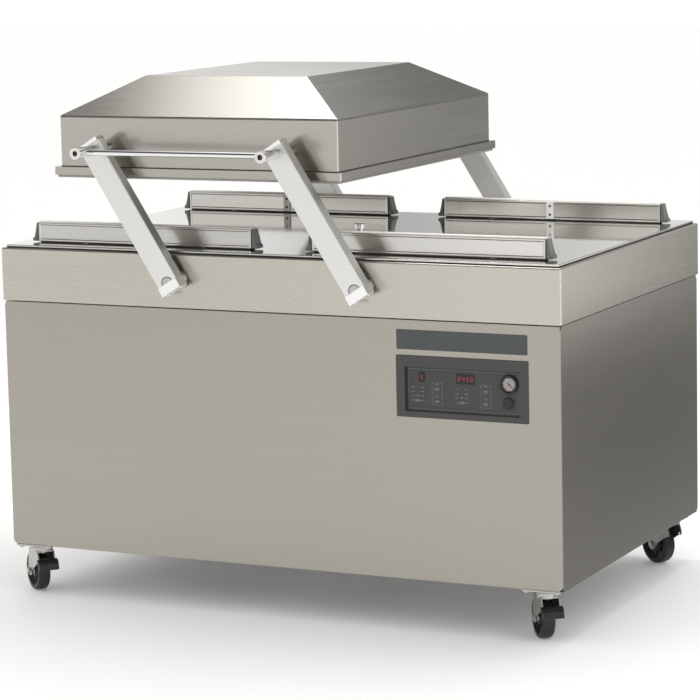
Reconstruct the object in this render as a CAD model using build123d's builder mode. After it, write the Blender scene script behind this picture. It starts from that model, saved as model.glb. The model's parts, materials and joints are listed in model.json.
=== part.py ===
from build123d import *
import os
from math import acos, cos, degrees, radians, sin

os.makedirs("parts", exist_ok=True)

# Double-chamber vacuum packing machine. Millimetres, +Z up, front towards -Y, floor at z = 0.
# The origin is on the floor, below the middle of the whole machine's outline.

# ---- Body ----
BODY_W = 1480.0  # chamber band, left to right
BODY_D = 950.0  # chamber band, front to back
CABINET_Z = 127.0  # underside of the cabinet
CABINET_H = 612.0
CABINET_INSET = 4.0  # cabinet faces stand this far inside the band's
GROOVE = 3.0  # dark gap between cabinet and band
BAND_H = 130.0
SHEET = 2.0
BAND_SHEET = 3.0
RETURN = 22.0  # folded edge of the cabinet panels
BAND_LIP = 10.0  # top edge of the band, outside to inside
BAND_LIP_T = 6.0
BAND_FLANGE = 33.0  # bottom flange of the band
DECK_RISE = 7.0  # deck's face above the band's top edge
DECK_T = 4.0
DECK_GAP = 3.0  # width of the dark joint under the deck's edge

# ---- Lid and its arms ----
LID_W = 751.0
LID_D = 901.0
LID_SHEET = 3.0
LID_RIM = 12.5  # rim overhang beyond the walls
LID_RIM_H = 19.7
LID_WALL_H = 143.0  # rim's lower edge to the eaves
LID_ROOF_H = 89.0
LID_HIP = 155.0  # eaves to flat top, measured level
GASKET_PROUD = 6.0
GASKET_T = 7.0
ARM_L = 368.5  # between pivot centres
ARM_W = 58.0
ARM_T = 33.0
ARM_END = 24.0  # pivot centre to the arm's cut end
ARM_GAP = 12.0  # band face to arm
ARM_TILT = 32.2  # at rest, tops towards -X
CLAMP_PROUD = 4.0
PIVOT_X = 247.0
PIVOT_DROP = 64.0  # lower pivots below the band's top edge
LID_PIVOT_H = 65.3  # upper pivots above the rim's lower edge
SHAFT_R = 15.0
PIN_R = 12.0
POST_L = 77.0  # handle post, arm face to ring face
POST_R = 13.0
POST_RING_R = 15.0
ROD_R = 7.0
PIN_CAP = 6.0
RUNNING = 0.05  # radial clearance of a running fit

# ---- Seal bars ----
BAR_L = 594.0  # without its end caps
BAR_D = 30.0
BAR_H = 46.0
BAR_CAP_TOP = 4.5  # how far each end cap stands out, at its top and low down
BAR_CAP_LOW = 10.5
BAR_FOOT = 17.0  # how far the cap's foot stands out
BAR_FOOT_H = 8.0
BAR_TAPE_W = 16.0
BAR_TAPE_H = 3.5
BAR_FLOAT = 3.0  # underside above the deck
BAR_X = 377.5
BAR_INSET = 88.0  # band face to the bar's middle
BAR_ROD_X = 165.0
BAR_ROD_R = 6.0
BAR_HOLE_R = 12.0  # hole in the deck for each cylinder's neck
BAR_NECK_PROUD = 1.5
CYLINDER_R = 20.0
CYLINDER_H = 40.0
CYLINDER_FLANGE_T = 10.0

# ---- Casters ----
WHEEL_R = 50.0
WHEEL_W = 32.0
TRAIL = 33.0
AXLE_R = 5.0
CASTER_X = 680.0
CASTER_INSETS = {-1: 44.0, 1: 85.0}  # swivel to the band's face, front and rear
PLATE_W = 100.0
PLATE_D = 84.0
PLATE_T = 4.0

# ---- Control unit, on the cabinet's front ----
UNIT_X = 492.0
UNIT_W = 330.0
UNIT_H = 145.0
UNIT_Z = 584.5
UNIT_PROUD = 3.0
UNIT_DEEP = 40.0
PANEL_W = 285.0
PANEL_H = 105.0
PANEL_Z = 578.5
PANEL_RECESS = 9.0
PANEL_T = 3.0
STRIP_H = 46.0
STRIP_Z = 693.5
GAUGE = (607.8, 600.4)
GAUGE_R = 22.0
BUTTON = (604.4, 556.8)
BUTTON_R = 13.0
KEY_W = 15.0
KEY_H = 10.0
KEYS = {
    "key_stop": (378.0, 551.0),
    "key_up": (427.0, 580.0),
    "key_down": (427.0, 551.0),
    "key_select": (489.0, 551.0),
    "key_program": (549.0, 580.0),
    "key_set": (549.0, 551.0),
}

# ---- Worked-out places ----
FRONT_REACH = ARM_GAP + ARM_T + POST_L
BACK_REACH = ARM_GAP + ARM_T + PIN_CAP
CENTRE_Y = (FRONT_REACH - BACK_REACH) / 2
FRONT_Y = CENTRE_Y - BODY_D / 2
BACK_Y = CENTRE_Y + BODY_D / 2
CABINET_TOP = CABINET_Z + CABINET_H
BAND_Z = CABINET_TOP + GROOVE
BAND_TOP = BAND_Z + BAND_H
DECK_Z = BAND_TOP + DECK_RISE
DECK_UNDER = DECK_Z - DECK_T
PIVOT_Z = BAND_TOP - PIVOT_DROP
LEAN = radians(ARM_TILT)
LID_X = -ARM_L * sin(LEAN)
UPPER_Z = PIVOT_Z + ARM_L * cos(LEAN)
LID_Z = UPPER_Z - LID_PIVOT_H
SHUT_Z = DECK_Z + GASKET_PROUD + 0.5 + LID_PIVOT_H
SHUT_TILT = degrees(acos((SHUT_Z - PIVOT_Z) / ARM_L))
PANEL_HALF = BODY_W / 2 - CABINET_INSET - SHEET
print("arm swing", round(ARM_TILT - SHUT_TILT, 3), round(ARM_TILT + SHUT_TILT, 3))
print("pivots", PIVOT_X, PIVOT_Z, "upper", round(LID_X - PIVOT_X, 3), round(UPPER_Z, 3))
print("front", FRONT_Y, "back", BACK_Y, "lid base", round(LID_Z, 3))


def finish(builder, name):
    """Label one finished sub-part and write it."""
    builder.part.label = name
    export_step(builder.part, f"parts/{name}.step")


def front_plane(x, y, z):
    """A plane seen from the front: local x is +X, local y is +Z, its normal is -Y."""
    return Plane(origin=(x, y, z), x_dir=(1, 0, 0), z_dir=(0, -1, 0))


def revolve_plane(x, y, z):
    """A plane for turned parts whose axis runs along Y: local x is +Y, local y is the radius."""
    return Plane(origin=(x, y, z), x_dir=(0, 1, 0), z_dir=(1, 0, 0))


def y_axis(x, z):
    return Axis((x, 0, z), (0, 1, 0))


# ============ Base frame and posts ============
TUBE_W = 60.0
TUBE_H = 40.0
TUBE_T = 3.0  # folded channel, open at the top
FRAME_X = 714.0
FRAME_Y = BODY_D / 2 - 28.0
CROSS_X = (-440.0, -60.0, 340.0)

with BuildPart() as base_frame:
    for bottom, rail_w, mode in ((0, TUBE_W, Mode.ADD), (TUBE_T, TUBE_W - 2 * TUBE_T, Mode.SUBTRACT)):
        with BuildSketch(Plane.XY.offset(CABINET_Z + bottom)):
            with Locations((0, CENTRE_Y)):
                Rectangle(2 * FRAME_X - TUBE_W + rail_w, 2 * FRAME_Y - TUBE_W + rail_w)
                Rectangle(
                    2 * FRAME_X - TUBE_W - rail_w, 2 * FRAME_Y - TUBE_W - rail_w, mode=Mode.SUBTRACT
                )
            with Locations(*((x, CENTRE_Y) for x in CROSS_X)):
                Rectangle(rail_w, 2 * FRAME_Y - TUBE_W)
        extrude(amount=TUBE_H - bottom, mode=mode)
finish(base_frame, "base_frame")

POST_W = 40.0
POST_T = 3.0
with BuildPart() as corner_posts:
    with BuildSketch(Plane.XY.offset(CABINET_Z + TUBE_H)):
        for side_x in (-1, 1):
            for side_y in (-1, 1):
                corner = (side_x * (FRAME_X - POST_W / 2), CENTRE_Y + side_y * (FRAME_Y - POST_W / 2))
                inner = (corner[0] - side_x * POST_T, corner[1] - side_y * POST_T)
                with Locations(corner):
                    Rectangle(POST_W, POST_W)
                with Locations(inner):
                    Rectangle(POST_W, POST_W, mode=Mode.SUBTRACT)
    extrude(amount=BAND_Z - CABINET_Z - TUBE_H)
finish(corner_posts, "corner_posts")

# ============ Cabinet panels ============
CORNER_CUT = 9.0
MID_Z = CABINET_Z + CABINET_H / 2

with BuildPart() as front_panel:
    with BuildSketch(front_plane(0, FRONT_Y + CABINET_INSET, MID_Z)):
        Rectangle(2 * PANEL_HALF, CABINET_H)
    extrude(amount=-RETURN)
    low_corners = front_panel.edges().filter_by(Axis.Y).group_by(Axis.Z)[0]
    chamfer(low_corners, CORNER_CUT)
    offset(amount=-SHEET, openings=front_panel.faces().sort_by(Axis.Y)[-1])
    with BuildSketch(front_plane(UNIT_X, FRONT_Y + CABINET_INSET, UNIT_Z)):
        Rectangle(UNIT_W - 20, UNIT_H - 20)
    extrude(amount=-SHEET, mode=Mode.SUBTRACT)
finish(front_panel, "front_panel")

COVER_W = 640.0
COVER_H = 300.0
COVER_Z = 420.0
COVER_DEEP = 9.0
GLAND_X = 600.0
GLAND_Z = 230.0
GLAND_R = 12.0
with BuildPart() as rear_panel:
    with BuildSketch(front_plane(0, BACK_Y - CABINET_INSET, MID_Z)):
        Rectangle(2 * PANEL_HALF, CABINET_H)
    extrude(amount=RETURN)
    low_corners = rear_panel.edges().filter_by(Axis.Y).group_by(Axis.Z)[0]
    chamfer(low_corners, CORNER_CUT)
    offset(amount=-SHEET, openings=rear_panel.faces().sort_by(Axis.Y)[0])
    with BuildSketch(front_plane(0, BACK_Y - CABINET_INSET, COVER_Z)):
        Rectangle(COVER_W - 60, COVER_H - 60)
    extrude(amount=SHEET, mode=Mode.SUBTRACT)
    with BuildSketch(front_plane(GLAND_X, BACK_Y - CABINET_INSET, GLAND_Z)):
        Circle(GLAND_R)
    extrude(amount=SHEET, mode=Mode.SUBTRACT)
finish(rear_panel, "rear_panel")

SIDE_D = BODY_D - 2 * CABINET_INSET
with BuildPart() as side_panels:
    for side in (-1, 1):
        face = Plane(origin=(side * PANEL_HALF, CENTRE_Y, MID_Z), x_dir=(0, 1, 0), z_dir=(1, 0, 0))
        with BuildSketch(face) as outline:
            Rectangle(SIDE_D, CABINET_H)
            chamfer(outline.vertices().group_by(Axis.Z)[0], CORNER_CUT)
        extrude(amount=side * SHEET)
        with BuildSketch(Plane.XY.offset(CABINET_Z)):
            with Locations((side * (PANEL_HALF - 9), CENTRE_Y)):
                Rectangle(18, SIDE_D - 2 * RETURN - 4)
        extrude(amount=SHEET)
finish(side_panels, "side_panels")

SLOT_L = 250.0
SLOT_H = 9.0
SLOT_PITCH = 26.0
SLOT_ROWS = 9
with BuildPart() as louvre_cover:
    with BuildSketch(front_plane(0, BACK_Y - CABINET_INSET, COVER_Z)):
        RectangleRounded(COVER_W, COVER_H, 12)
    extrude(amount=-COVER_DEEP)
    fillet(louvre_cover.faces().sort_by(Axis.Y)[-1].edges(), 3.0)
    with BuildSketch(front_plane(0, BACK_Y - CABINET_INSET, COVER_Z)):
        RectangleRounded(COVER_W - 50, COVER_H - 50, 8)
    extrude(amount=-(COVER_DEEP - SHEET), mode=Mode.SUBTRACT)
    with BuildSketch(front_plane(0, BACK_Y - CABINET_INSET, COVER_Z)):
        with GridLocations(SLOT_L + 30, SLOT_PITCH, 2, SLOT_ROWS):
            SlotOverall(SLOT_L, SLOT_H)
    extrude(amount=-COVER_DEEP, mode=Mode.SUBTRACT)
finish(louvre_cover, "louvre_cover")

SCREW_R = 5.0
SCREW_H = 3.0
with BuildPart() as panel_screws:
    with BuildSketch(front_plane(0, BACK_Y - CABINET_INSET + COVER_DEEP, COVER_Z)):
        with GridLocations((COVER_W - 25) / 2, COVER_H - 25, 3, 2):
            Circle(SCREW_R)
    extrude(amount=-SCREW_H)
    with BuildSketch(front_plane(0, BACK_Y - CABINET_INSET, MID_Z)):
        with GridLocations((2 * PANEL_HALF - 40) / 4, CABINET_H - 40, 5, 2):
            Circle(SCREW_R)
    extrude(amount=-SCREW_H)
    fillet(panel_screws.faces().filter_by(Axis.Y).group_by(Axis.Y)[-1].edges(), 1.5)
finish(panel_screws, "panel_screws")

# ============ Chamber band, deck and what holds it ============
BUSH_R = 19.0
with BuildPart() as chamber_band:
    with BuildSketch(Plane.XY.offset(BAND_Z)):
        with Locations((0, CENTRE_Y)):
            RectangleRounded(BODY_W, BODY_D, 6)
    extrude(amount=BAND_H)
    fillet(chamber_band.faces().sort_by(Axis.Z)[-1].edges(), 4.0)
    with BuildSketch(Plane.XY.offset(BAND_Z + BAND_SHEET)):
        with Locations((0, CENTRE_Y)):
            Rectangle(BODY_W - 2 * BAND_SHEET, BODY_D - 2 * BAND_SHEET)
    extrude(amount=BAND_H - BAND_LIP_T - BAND_SHEET, mode=Mode.SUBTRACT)
    with BuildSketch(Plane.XY.offset(BAND_Z)):
        with Locations((0, CENTRE_Y)):
            Rectangle(BODY_W - 2 * BAND_FLANGE, BODY_D - 2 * BAND_FLANGE)
    extrude(amount=BAND_SHEET, mode=Mode.SUBTRACT)
    with BuildSketch(Plane.XY.offset(BAND_TOP - BAND_LIP_T)):
        with Locations((0, CENTRE_Y)):
            Rectangle(BODY_W - 2 * BAND_LIP, BODY_D - 2 * BAND_LIP)
    extrude(amount=BAND_LIP_T, mode=Mode.SUBTRACT)
    with BuildSketch(front_plane(0, FRONT_Y, PIVOT_Z)):
        with Locations((-PIVOT_X, 0), (PIVOT_X, 0)):
            Circle(BUSH_R)
    extrude(amount=-BODY_D, mode=Mode.SUBTRACT)
finish(chamber_band, "chamber_band")

# The deck is a sheet with a turned-down edge; its face runs out over the joint, up to the band's lip.
DECK_W = BODY_W - 2 * BAND_LIP
DECK_D = BODY_D - 2 * BAND_LIP
DECK_EDGE_Z = BAND_TOP - BAND_LIP_T
BAR_ROWS_Y = BODY_D - 2 * BAR_INSET
PORT_X = -10.0
PORT_R = 10.0
PORT_Y = FRONT_Y + 530.0
with BuildPart() as deck_plate:
    with BuildSketch(Plane.XY.offset(DECK_EDGE_Z)):
        with Locations((0, CENTRE_Y)):
            RectangleRounded(DECK_W - 2 * DECK_GAP, DECK_D - 2 * DECK_GAP, 4)
            Rectangle(DECK_W - 2 * (DECK_GAP + DECK_T), DECK_D - 2 * (DECK_GAP + DECK_T), mode=Mode.SUBTRACT)
    extrude(amount=DECK_UNDER - DECK_EDGE_Z)
    with BuildSketch(Plane.XY.offset(DECK_UNDER)):
        with Locations((0, CENTRE_Y)):
            RectangleRounded(DECK_W, DECK_D, 4)
            with GridLocations(2 * BAR_X, BAR_ROWS_Y, 2, 2):
                with Locations((-BAR_ROD_X, 0), (BAR_ROD_X, 0)):
                    Circle(BAR_HOLE_R, mode=Mode.SUBTRACT)
        with Locations((PORT_X, PORT_Y)):
            Circle(PORT_R, mode=Mode.SUBTRACT)
    extrude(amount=DECK_T)
    fillet(deck_plate.faces().sort_by(Axis.Z)[-1].outer_wire().edges(), 1.5)
finish(deck_plate, "deck_plate")

with BuildPart() as deck_gasket:
    with BuildSketch(Plane.XY.offset(DECK_EDGE_Z)):
        with Locations((0, CENTRE_Y)):
            RectangleRounded(DECK_W, DECK_D, 4)
            RectangleRounded(DECK_W - 2 * DECK_GAP, DECK_D - 2 * DECK_GAP, 4, mode=Mode.SUBTRACT)
    extrude(amount=DECK_UNDER - DECK_EDGE_Z)
finish(deck_gasket, "deck_gasket")

# Box beams under the band's lip; a riser strip on each one carries the sheet between its edges.
BEAM_W = 40.0
BEAM_H = 25.0
BEAM_T = 3.0
BEAM_PITCH = 320.0
BEAM_L = BODY_W - 2 * BAND_SHEET
RISER_W = 30.0
RISER_H = DECK_UNDER - DECK_EDGE_Z
RISER_L = DECK_W - 2 * (DECK_GAP + DECK_T)
with BuildPart() as deck_beams:
    for step in (-1, 0, 1):
        beam_y = CENTRE_Y + step * BEAM_PITCH
        with BuildSketch(Plane.YZ.offset(-BEAM_L / 2)):
            with Locations((beam_y, DECK_EDGE_Z - BEAM_H / 2)):
                Rectangle(BEAM_W, BEAM_H)
                Rectangle(BEAM_W - 2 * BEAM_T, BEAM_H - 2 * BEAM_T, mode=Mode.SUBTRACT)
        extrude(amount=BEAM_L)
        with BuildSketch(Plane.YZ.offset(-RISER_L / 2)):
            with Locations((beam_y, DECK_EDGE_Z + RISER_H / 2)):
                Rectangle(RISER_W, RISER_H)
        extrude(amount=RISER_L)
finish(deck_beams, "deck_beams")

# Each cylinder's neck fills its hole in the deck and guides the bar's rod.
with BuildPart() as lift_cylinders:
    for top, length, outer, inner, mode in (
        (DECK_UNDER, CYLINDER_H, CYLINDER_R, BAR_ROD_R + RUNNING, Mode.ADD),
        (DECK_Z + BAR_NECK_PROUD, DECK_T + BAR_NECK_PROUD, BAR_HOLE_R, BAR_ROD_R + RUNNING, Mode.ADD),
        (
            DECK_UNDER - CYLINDER_FLANGE_T,
            CYLINDER_H - CYLINDER_FLANGE_T - 8,
            CYLINDER_R,
            CYLINDER_R - 2,
            Mode.SUBTRACT,
        ),
    ):
        with BuildSketch(Plane.XY.offset(top)):
            with Locations((0, CENTRE_Y)):
                with GridLocations(2 * BAR_X, BAR_ROWS_Y, 2, 2):
                    with Locations((-BAR_ROD_X, 0), (BAR_ROD_X, 0)):
                        Circle(outer)
                        Circle(inner, mode=Mode.SUBTRACT)
        extrude(amount=-length, mode=mode)
finish(lift_cylinders, "lift_cylinders")

# The cap's sleeve stands in the port's hole; slots above the deck let the air in under its head.
PORT_CAP_R = 14.0
PORT_CAP_H = 17.0
PORT_SLEEVE_R = 7.0  # inside
PORT_GAP = 3.0
with BuildPart() as port_cap:
    with BuildSketch(Plane.XZ.offset(-PORT_Y)):
        with BuildLine():
            Polyline(
                (PORT_X + PORT_SLEEVE_R, DECK_UNDER),
                (PORT_X + PORT_R, DECK_UNDER),
                (PORT_X + PORT_R, DECK_Z + PORT_GAP),
                (PORT_X + PORT_CAP_R, DECK_Z + PORT_GAP),
                (PORT_X + PORT_CAP_R, DECK_Z + PORT_CAP_H - 2),
                (PORT_X + PORT_CAP_R - 2, DECK_Z + PORT_CAP_H),
                (PORT_X, DECK_Z + PORT_CAP_H),
                (PORT_X, DECK_Z + PORT_CAP_H - 4),
                (PORT_X + PORT_SLEEVE_R, DECK_Z + PORT_CAP_H - 4),
                close=True,
            )
        make_face()
    revolve(axis=Axis((PORT_X, PORT_Y, 0), (0, 0, 1)))
    with BuildSketch(Plane.XY.offset(DECK_Z)):
        with Locations((PORT_X, PORT_Y)):
            Rectangle(2 * PORT_R, PORT_SLEEVE_R)
            Rectangle(PORT_SLEEVE_R, 2 * PORT_R)
    extrude(amount=PORT_GAP, mode=Mode.SUBTRACT)
finish(port_cap, "port_cap")

# ============ Pivots ============
BEARING_FLANGE_R = 26.0
BEARING_BLOCK_R = 32.0
BEARING_BLOCK_L = 22.0
BEARING_FLANGE_L = 8.0
with BuildPart() as shaft_bearings:
    for pivot in (-PIVOT_X, PIVOT_X):
        for face_y, inward in ((FRONT_Y, 1), (BACK_Y, -1)):
            with BuildSketch(revolve_plane(pivot, face_y, PIVOT_Z)):
                with BuildLine():
                    Polyline(
                        (-inward * BEARING_FLANGE_L, SHAFT_R + RUNNING),
                        (-inward * BEARING_FLANGE_L, BEARING_FLANGE_R),
                        (0, BEARING_FLANGE_R),
                        (0, BUSH_R),
                        (inward * BAND_SHEET, BUSH_R),
                        (inward * BAND_SHEET, BEARING_BLOCK_R),
                        (inward * (BAND_SHEET + BEARING_BLOCK_L), BEARING_BLOCK_R),
                        (inward * (BAND_SHEET + BEARING_BLOCK_L), SHAFT_R + RUNNING),
                        close=True,
                    )
                make_face()
            revolve(axis=y_axis(pivot, PIVOT_Z))
finish(shaft_bearings, "shaft_bearings")

SPRING_R = 23.0
SPRING_WIRE_R = 3.0
SPRING_L = 220.0
SPRING_INSET = 200.0
SPRING_PITCH = 11.0
with BuildPart() as balance_springs:
    for pivot in (-PIVOT_X, PIVOT_X):
        with BuildLine() as coil:
            spring_end = (pivot, FRONT_Y + SPRING_INSET, PIVOT_Z)
            Helix(SPRING_PITCH, SPRING_L, SPRING_R, center=spring_end, direction=(0, 1, 0))
        with BuildSketch(Plane(coil.line @ 0, z_dir=coil.line % 0)):
            Circle(SPRING_WIRE_R)
        sweep(path=coil.line, is_frenet=True)
finish(balance_springs, "balance_springs")

ARM_FRONT_Y = FRONT_Y - ARM_GAP - ARM_T / 2
ARM_BACK_Y = BACK_Y + ARM_GAP + ARM_T / 2
with BuildPart() as arm_master:
    with BuildSketch(Plane.XZ.offset(-ARM_T / 2)):
        with Locations((0, (ARM_L + ARM_END - 10) / 2)):
            Rectangle(ARM_W, ARM_L + ARM_END - 10)
        Circle(SHAFT_R, mode=Mode.SUBTRACT)
        with Locations((0, ARM_L)):
            Circle(PIN_R + RUNNING, mode=Mode.SUBTRACT)
    extrude(amount=ARM_T)
    fillet(arm_master.edges().filter_by(Axis.Z), 3.0)

# The lower clamp closes over the shaft; its outer cheek and the top cap stand proud of the arm.
with BuildPart() as clamp_master:
    with BuildSketch(Plane.XZ.offset(-ARM_T / 2)):
        with Locations((0, -ARM_END / 2)):
            Rectangle(ARM_W, ARM_END)
        Circle(SHAFT_R, mode=Mode.SUBTRACT)
    extrude(amount=ARM_T)
    with BuildSketch(Plane.XZ.offset(ARM_T / 2)):
        with Locations((0, -ARM_END / 2)):
            Rectangle(ARM_W, ARM_END)
    extrude(amount=CLAMP_PROUD)
    fillet(clamp_master.edges().filter_by(Axis.Z), 2.5)
    with BuildSketch(Plane.XZ.offset(-ARM_T / 2)):
        with Locations((0, ARM_L + ARM_END - 5)):
            Rectangle(ARM_W, 10)
    extrude(amount=ARM_T + 2)

with BuildPart() as shaft_master:
    with BuildSketch(front_plane(0, ARM_FRONT_Y - ARM_T / 2, 0)):
        Circle(SHAFT_R)
    extrude(amount=-(ARM_BACK_Y - ARM_FRONT_Y + ARM_T))
    chamfer(shaft_master.edges().filter_by(GeomType.CIRCLE), 1.5)

for side, name in ((-1, "left"), (1, "right")):
    front_place = Location((side * PIVOT_X, ARM_FRONT_Y, PIVOT_Z), (0, -ARM_TILT, 0))
    back_place = Location((side * PIVOT_X, ARM_BACK_Y, PIVOT_Z), (0, -ARM_TILT, 0)) * Location(
        (0, 0, 0), (0, 0, 180)
    )
    with BuildPart() as arms:
        with Locations(front_place, back_place):
            add(arm_master.part)
    finish(arms, f"arms_{name}")
    with BuildPart() as clamps:
        with Locations(front_place, back_place):
            add(clamp_master.part)
    finish(clamps, f"arm_clamps_{name}")
    with BuildPart() as shaft:
        with Locations((side * PIVOT_X, 0, PIVOT_Z)):
            add(shaft_master.part)
    finish(shaft, f"pivot_shaft_{name}")

# ============ Lid ============
lid_base = Plane(origin=(LID_X, CENTRE_Y, LID_Z))
FLAT_W = LID_W - 2 * LID_HIP
FLAT_D = LID_D - 2 * LID_HIP
with BuildPart() as lid_shell:
    with BuildSketch(lid_base):
        Rectangle(LID_W, LID_D)
    extrude(amount=LID_WALL_H)
    with BuildSketch(lid_base.offset(LID_WALL_H)):
        Rectangle(LID_W, LID_D)
    with BuildSketch(lid_base.offset(LID_WALL_H + LID_ROOF_H)):
        Rectangle(FLAT_W, FLAT_D)
    loft(ruled=True)
    roof_edges = lid_shell.edges().filter_by(lambda e: e.bounding_box().max.Z > LID_Z + LID_WALL_H - 1)
    fillet(roof_edges, 5.0)
    with BuildSketch(lid_base):
        RectangleRounded(LID_W + 2 * LID_RIM, LID_D + 2 * LID_RIM, 5)
    extrude(amount=LID_RIM_H)
    with BuildSketch(lid_base):
        RectangleRounded(LID_W + 2 * LID_RIM - 2 * SHEET, LID_D + 2 * LID_RIM - 2 * SHEET, 3)
    extrude(amount=LID_RIM_H - SHEET, mode=Mode.SUBTRACT)
    with BuildSketch(lid_base):
        Rectangle(LID_W, LID_D)
    extrude(amount=LID_RIM_H)
    with BuildSketch(lid_base):
        Rectangle(LID_W - 2 * LID_SHEET, LID_D - 2 * LID_SHEET)
    extrude(amount=LID_WALL_H, mode=Mode.SUBTRACT)
    with BuildSketch(lid_base.offset(LID_WALL_H)):
        Rectangle(LID_W - 2 * LID_SHEET, LID_D - 2 * LID_SHEET)
    with BuildSketch(lid_base.offset(LID_WALL_H + LID_ROOF_H - LID_SHEET)):
        Rectangle(FLAT_W - 2 * LID_SHEET, FLAT_D - 2 * LID_SHEET)
    loft(ruled=True, mode=Mode.SUBTRACT)
    with BuildSketch(front_plane(LID_X, CENTRE_Y - LID_D / 2, UPPER_Z)):
        with Locations((-PIVOT_X, 0), (PIVOT_X, 0)):
            Circle(PIN_R)
    extrude(amount=-LID_D, mode=Mode.SUBTRACT)
finish(lid_shell, "lid_shell")

with BuildPart() as lid_gasket:
    with BuildSketch(lid_base.offset(-GASKET_PROUD)):
        RectangleRounded(LID_W + 2 * GASKET_T, LID_D + 2 * GASKET_T, 4)
        Rectangle(LID_W, LID_D, mode=Mode.SUBTRACT)
    extrude(amount=GASKET_PROUD + LID_RIM_H - SHEET)
finish(lid_gasket, "lid_gasket")

COUNTER_L = 620.0
COUNTER_Z = 60.0  # above the rim's lower edge
COUNTER_H = 16.0
COUNTER_W = 24.0
COUNTER_Y = BODY_D / 2 - BAR_INSET  # over the seal bars
HANGER_Z = 92.0
HANGER_T = 4.0
HANGER_TOP = 120.0
WALL_IN = LID_D / 2 - LID_SHEET
with BuildPart() as lid_counter_bars:
    for side in (-1, 1):
        section = Plane(origin=(LID_X - COUNTER_L / 2, CENTRE_Y, LID_Z), x_dir=(0, 1, 0), z_dir=(1, 0, 0))
        with BuildSketch(section):
            with BuildLine():
                Polyline(
                    (side * (COUNTER_Y - COUNTER_W / 2), COUNTER_Z),
                    (side * (COUNTER_Y + COUNTER_W / 2), COUNTER_Z),
                    (side * (COUNTER_Y + COUNTER_W / 2), COUNTER_Z + COUNTER_H),
                    (side * (COUNTER_Y + HANGER_T / 2), COUNTER_Z + COUNTER_H),
                    (side * (COUNTER_Y + HANGER_T / 2), HANGER_Z),
                    (side * WALL_IN, HANGER_Z),
                    (side * WALL_IN, HANGER_TOP),
                    (side * (WALL_IN - HANGER_T), HANGER_TOP),
                    (side * (WALL_IN - HANGER_T), HANGER_Z + HANGER_T),
                    (side * (COUNTER_Y - HANGER_T / 2), HANGER_Z + HANGER_T),
                    (side * (COUNTER_Y - HANGER_T / 2), COUNTER_Z + COUNTER_H),
                    (side * (COUNTER_Y - COUNTER_W / 2), COUNTER_Z + COUNTER_H),
                    close=True,
                )
            make_face()
        extrude(amount=COUNTER_L)
finish(lid_counter_bars, "lid_counter_bars")

# Pins carry the lid on the arms. The front pair run on as the handle's posts, each with a ring face.
RING_L = 10.0
POST_HOLE_R = 6.5
PIN_HEAD_R = 20.0
PIN_HEAD_L = 8.0
FRONT_WALL_Y = CENTRE_Y - LID_D / 2
BACK_WALL_Y = CENTRE_Y + LID_D / 2
ARM_FACE_Y = FRONT_Y - ARM_GAP - ARM_T
POST_FACE_Y = ARM_FACE_Y - POST_L
ROD_Y = ARM_FACE_Y - POST_L / 2
with BuildPart() as lid_pins:
    for pivot in (LID_X - PIVOT_X, LID_X + PIVOT_X):
        with BuildSketch(revolve_plane(pivot, 0, UPPER_Z)):
            with BuildLine():
                Polyline(
                    (POST_FACE_Y + 9, 0),
                    (POST_FACE_Y + 9, POST_HOLE_R),
                    (POST_FACE_Y, POST_HOLE_R),
                    (POST_FACE_Y, POST_RING_R - 1),
                    (POST_FACE_Y + 1, POST_RING_R),
                    (POST_FACE_Y + RING_L, POST_RING_R),
                    (POST_FACE_Y + RING_L, POST_R),
                    (ARM_FACE_Y - 0.4, POST_R),
                    (ARM_FACE_Y - 0.4, PIN_R),
                    (FRONT_WALL_Y + LID_SHEET, PIN_R),
                    (FRONT_WALL_Y + LID_SHEET, PIN_HEAD_R),
                    (FRONT_WALL_Y + LID_SHEET + PIN_HEAD_L, PIN_HEAD_R),
                    (FRONT_WALL_Y + LID_SHEET + PIN_HEAD_L, 0),
                    close=True,
                )
            make_face()
        revolve(axis=y_axis(pivot, UPPER_Z))
        with BuildSketch(revolve_plane(pivot, 0, UPPER_Z)):
            with BuildLine():
                Polyline(
                    (BACK_WALL_Y - LID_SHEET - PIN_HEAD_L, 0),
                    (BACK_WALL_Y - LID_SHEET - PIN_HEAD_L, PIN_HEAD_R),
                    (BACK_WALL_Y - LID_SHEET, PIN_HEAD_R),
                    (BACK_WALL_Y - LID_SHEET, PIN_R),
                    (BACK_Y + ARM_GAP + ARM_T + 0.4, PIN_R),
                    (BACK_Y + ARM_GAP + ARM_T + 0.4, POST_R),
                    (BACK_Y + BACK_REACH - 1, POST_R),
                    (BACK_Y + BACK_REACH, POST_R - 1),
                    (BACK_Y + BACK_REACH, 0),
                    close=True,
                )
            make_face()
        revolve(axis=y_axis(pivot, UPPER_Z))
    rod_end = Plane(origin=(LID_X - PIVOT_X, ROD_Y, UPPER_Z), x_dir=(0, 1, 0), z_dir=(1, 0, 0))
    with BuildSketch(rod_end):
        Circle(ROD_R)
    extrude(amount=2 * PIVOT_X, mode=Mode.SUBTRACT)
finish(lid_pins, "lid_pins")

with BuildPart() as handle_rod:
    with BuildSketch(rod_end):
        Circle(ROD_R)
    extrude(amount=2 * PIVOT_X)
finish(handle_rod, "handle_rod")

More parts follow.
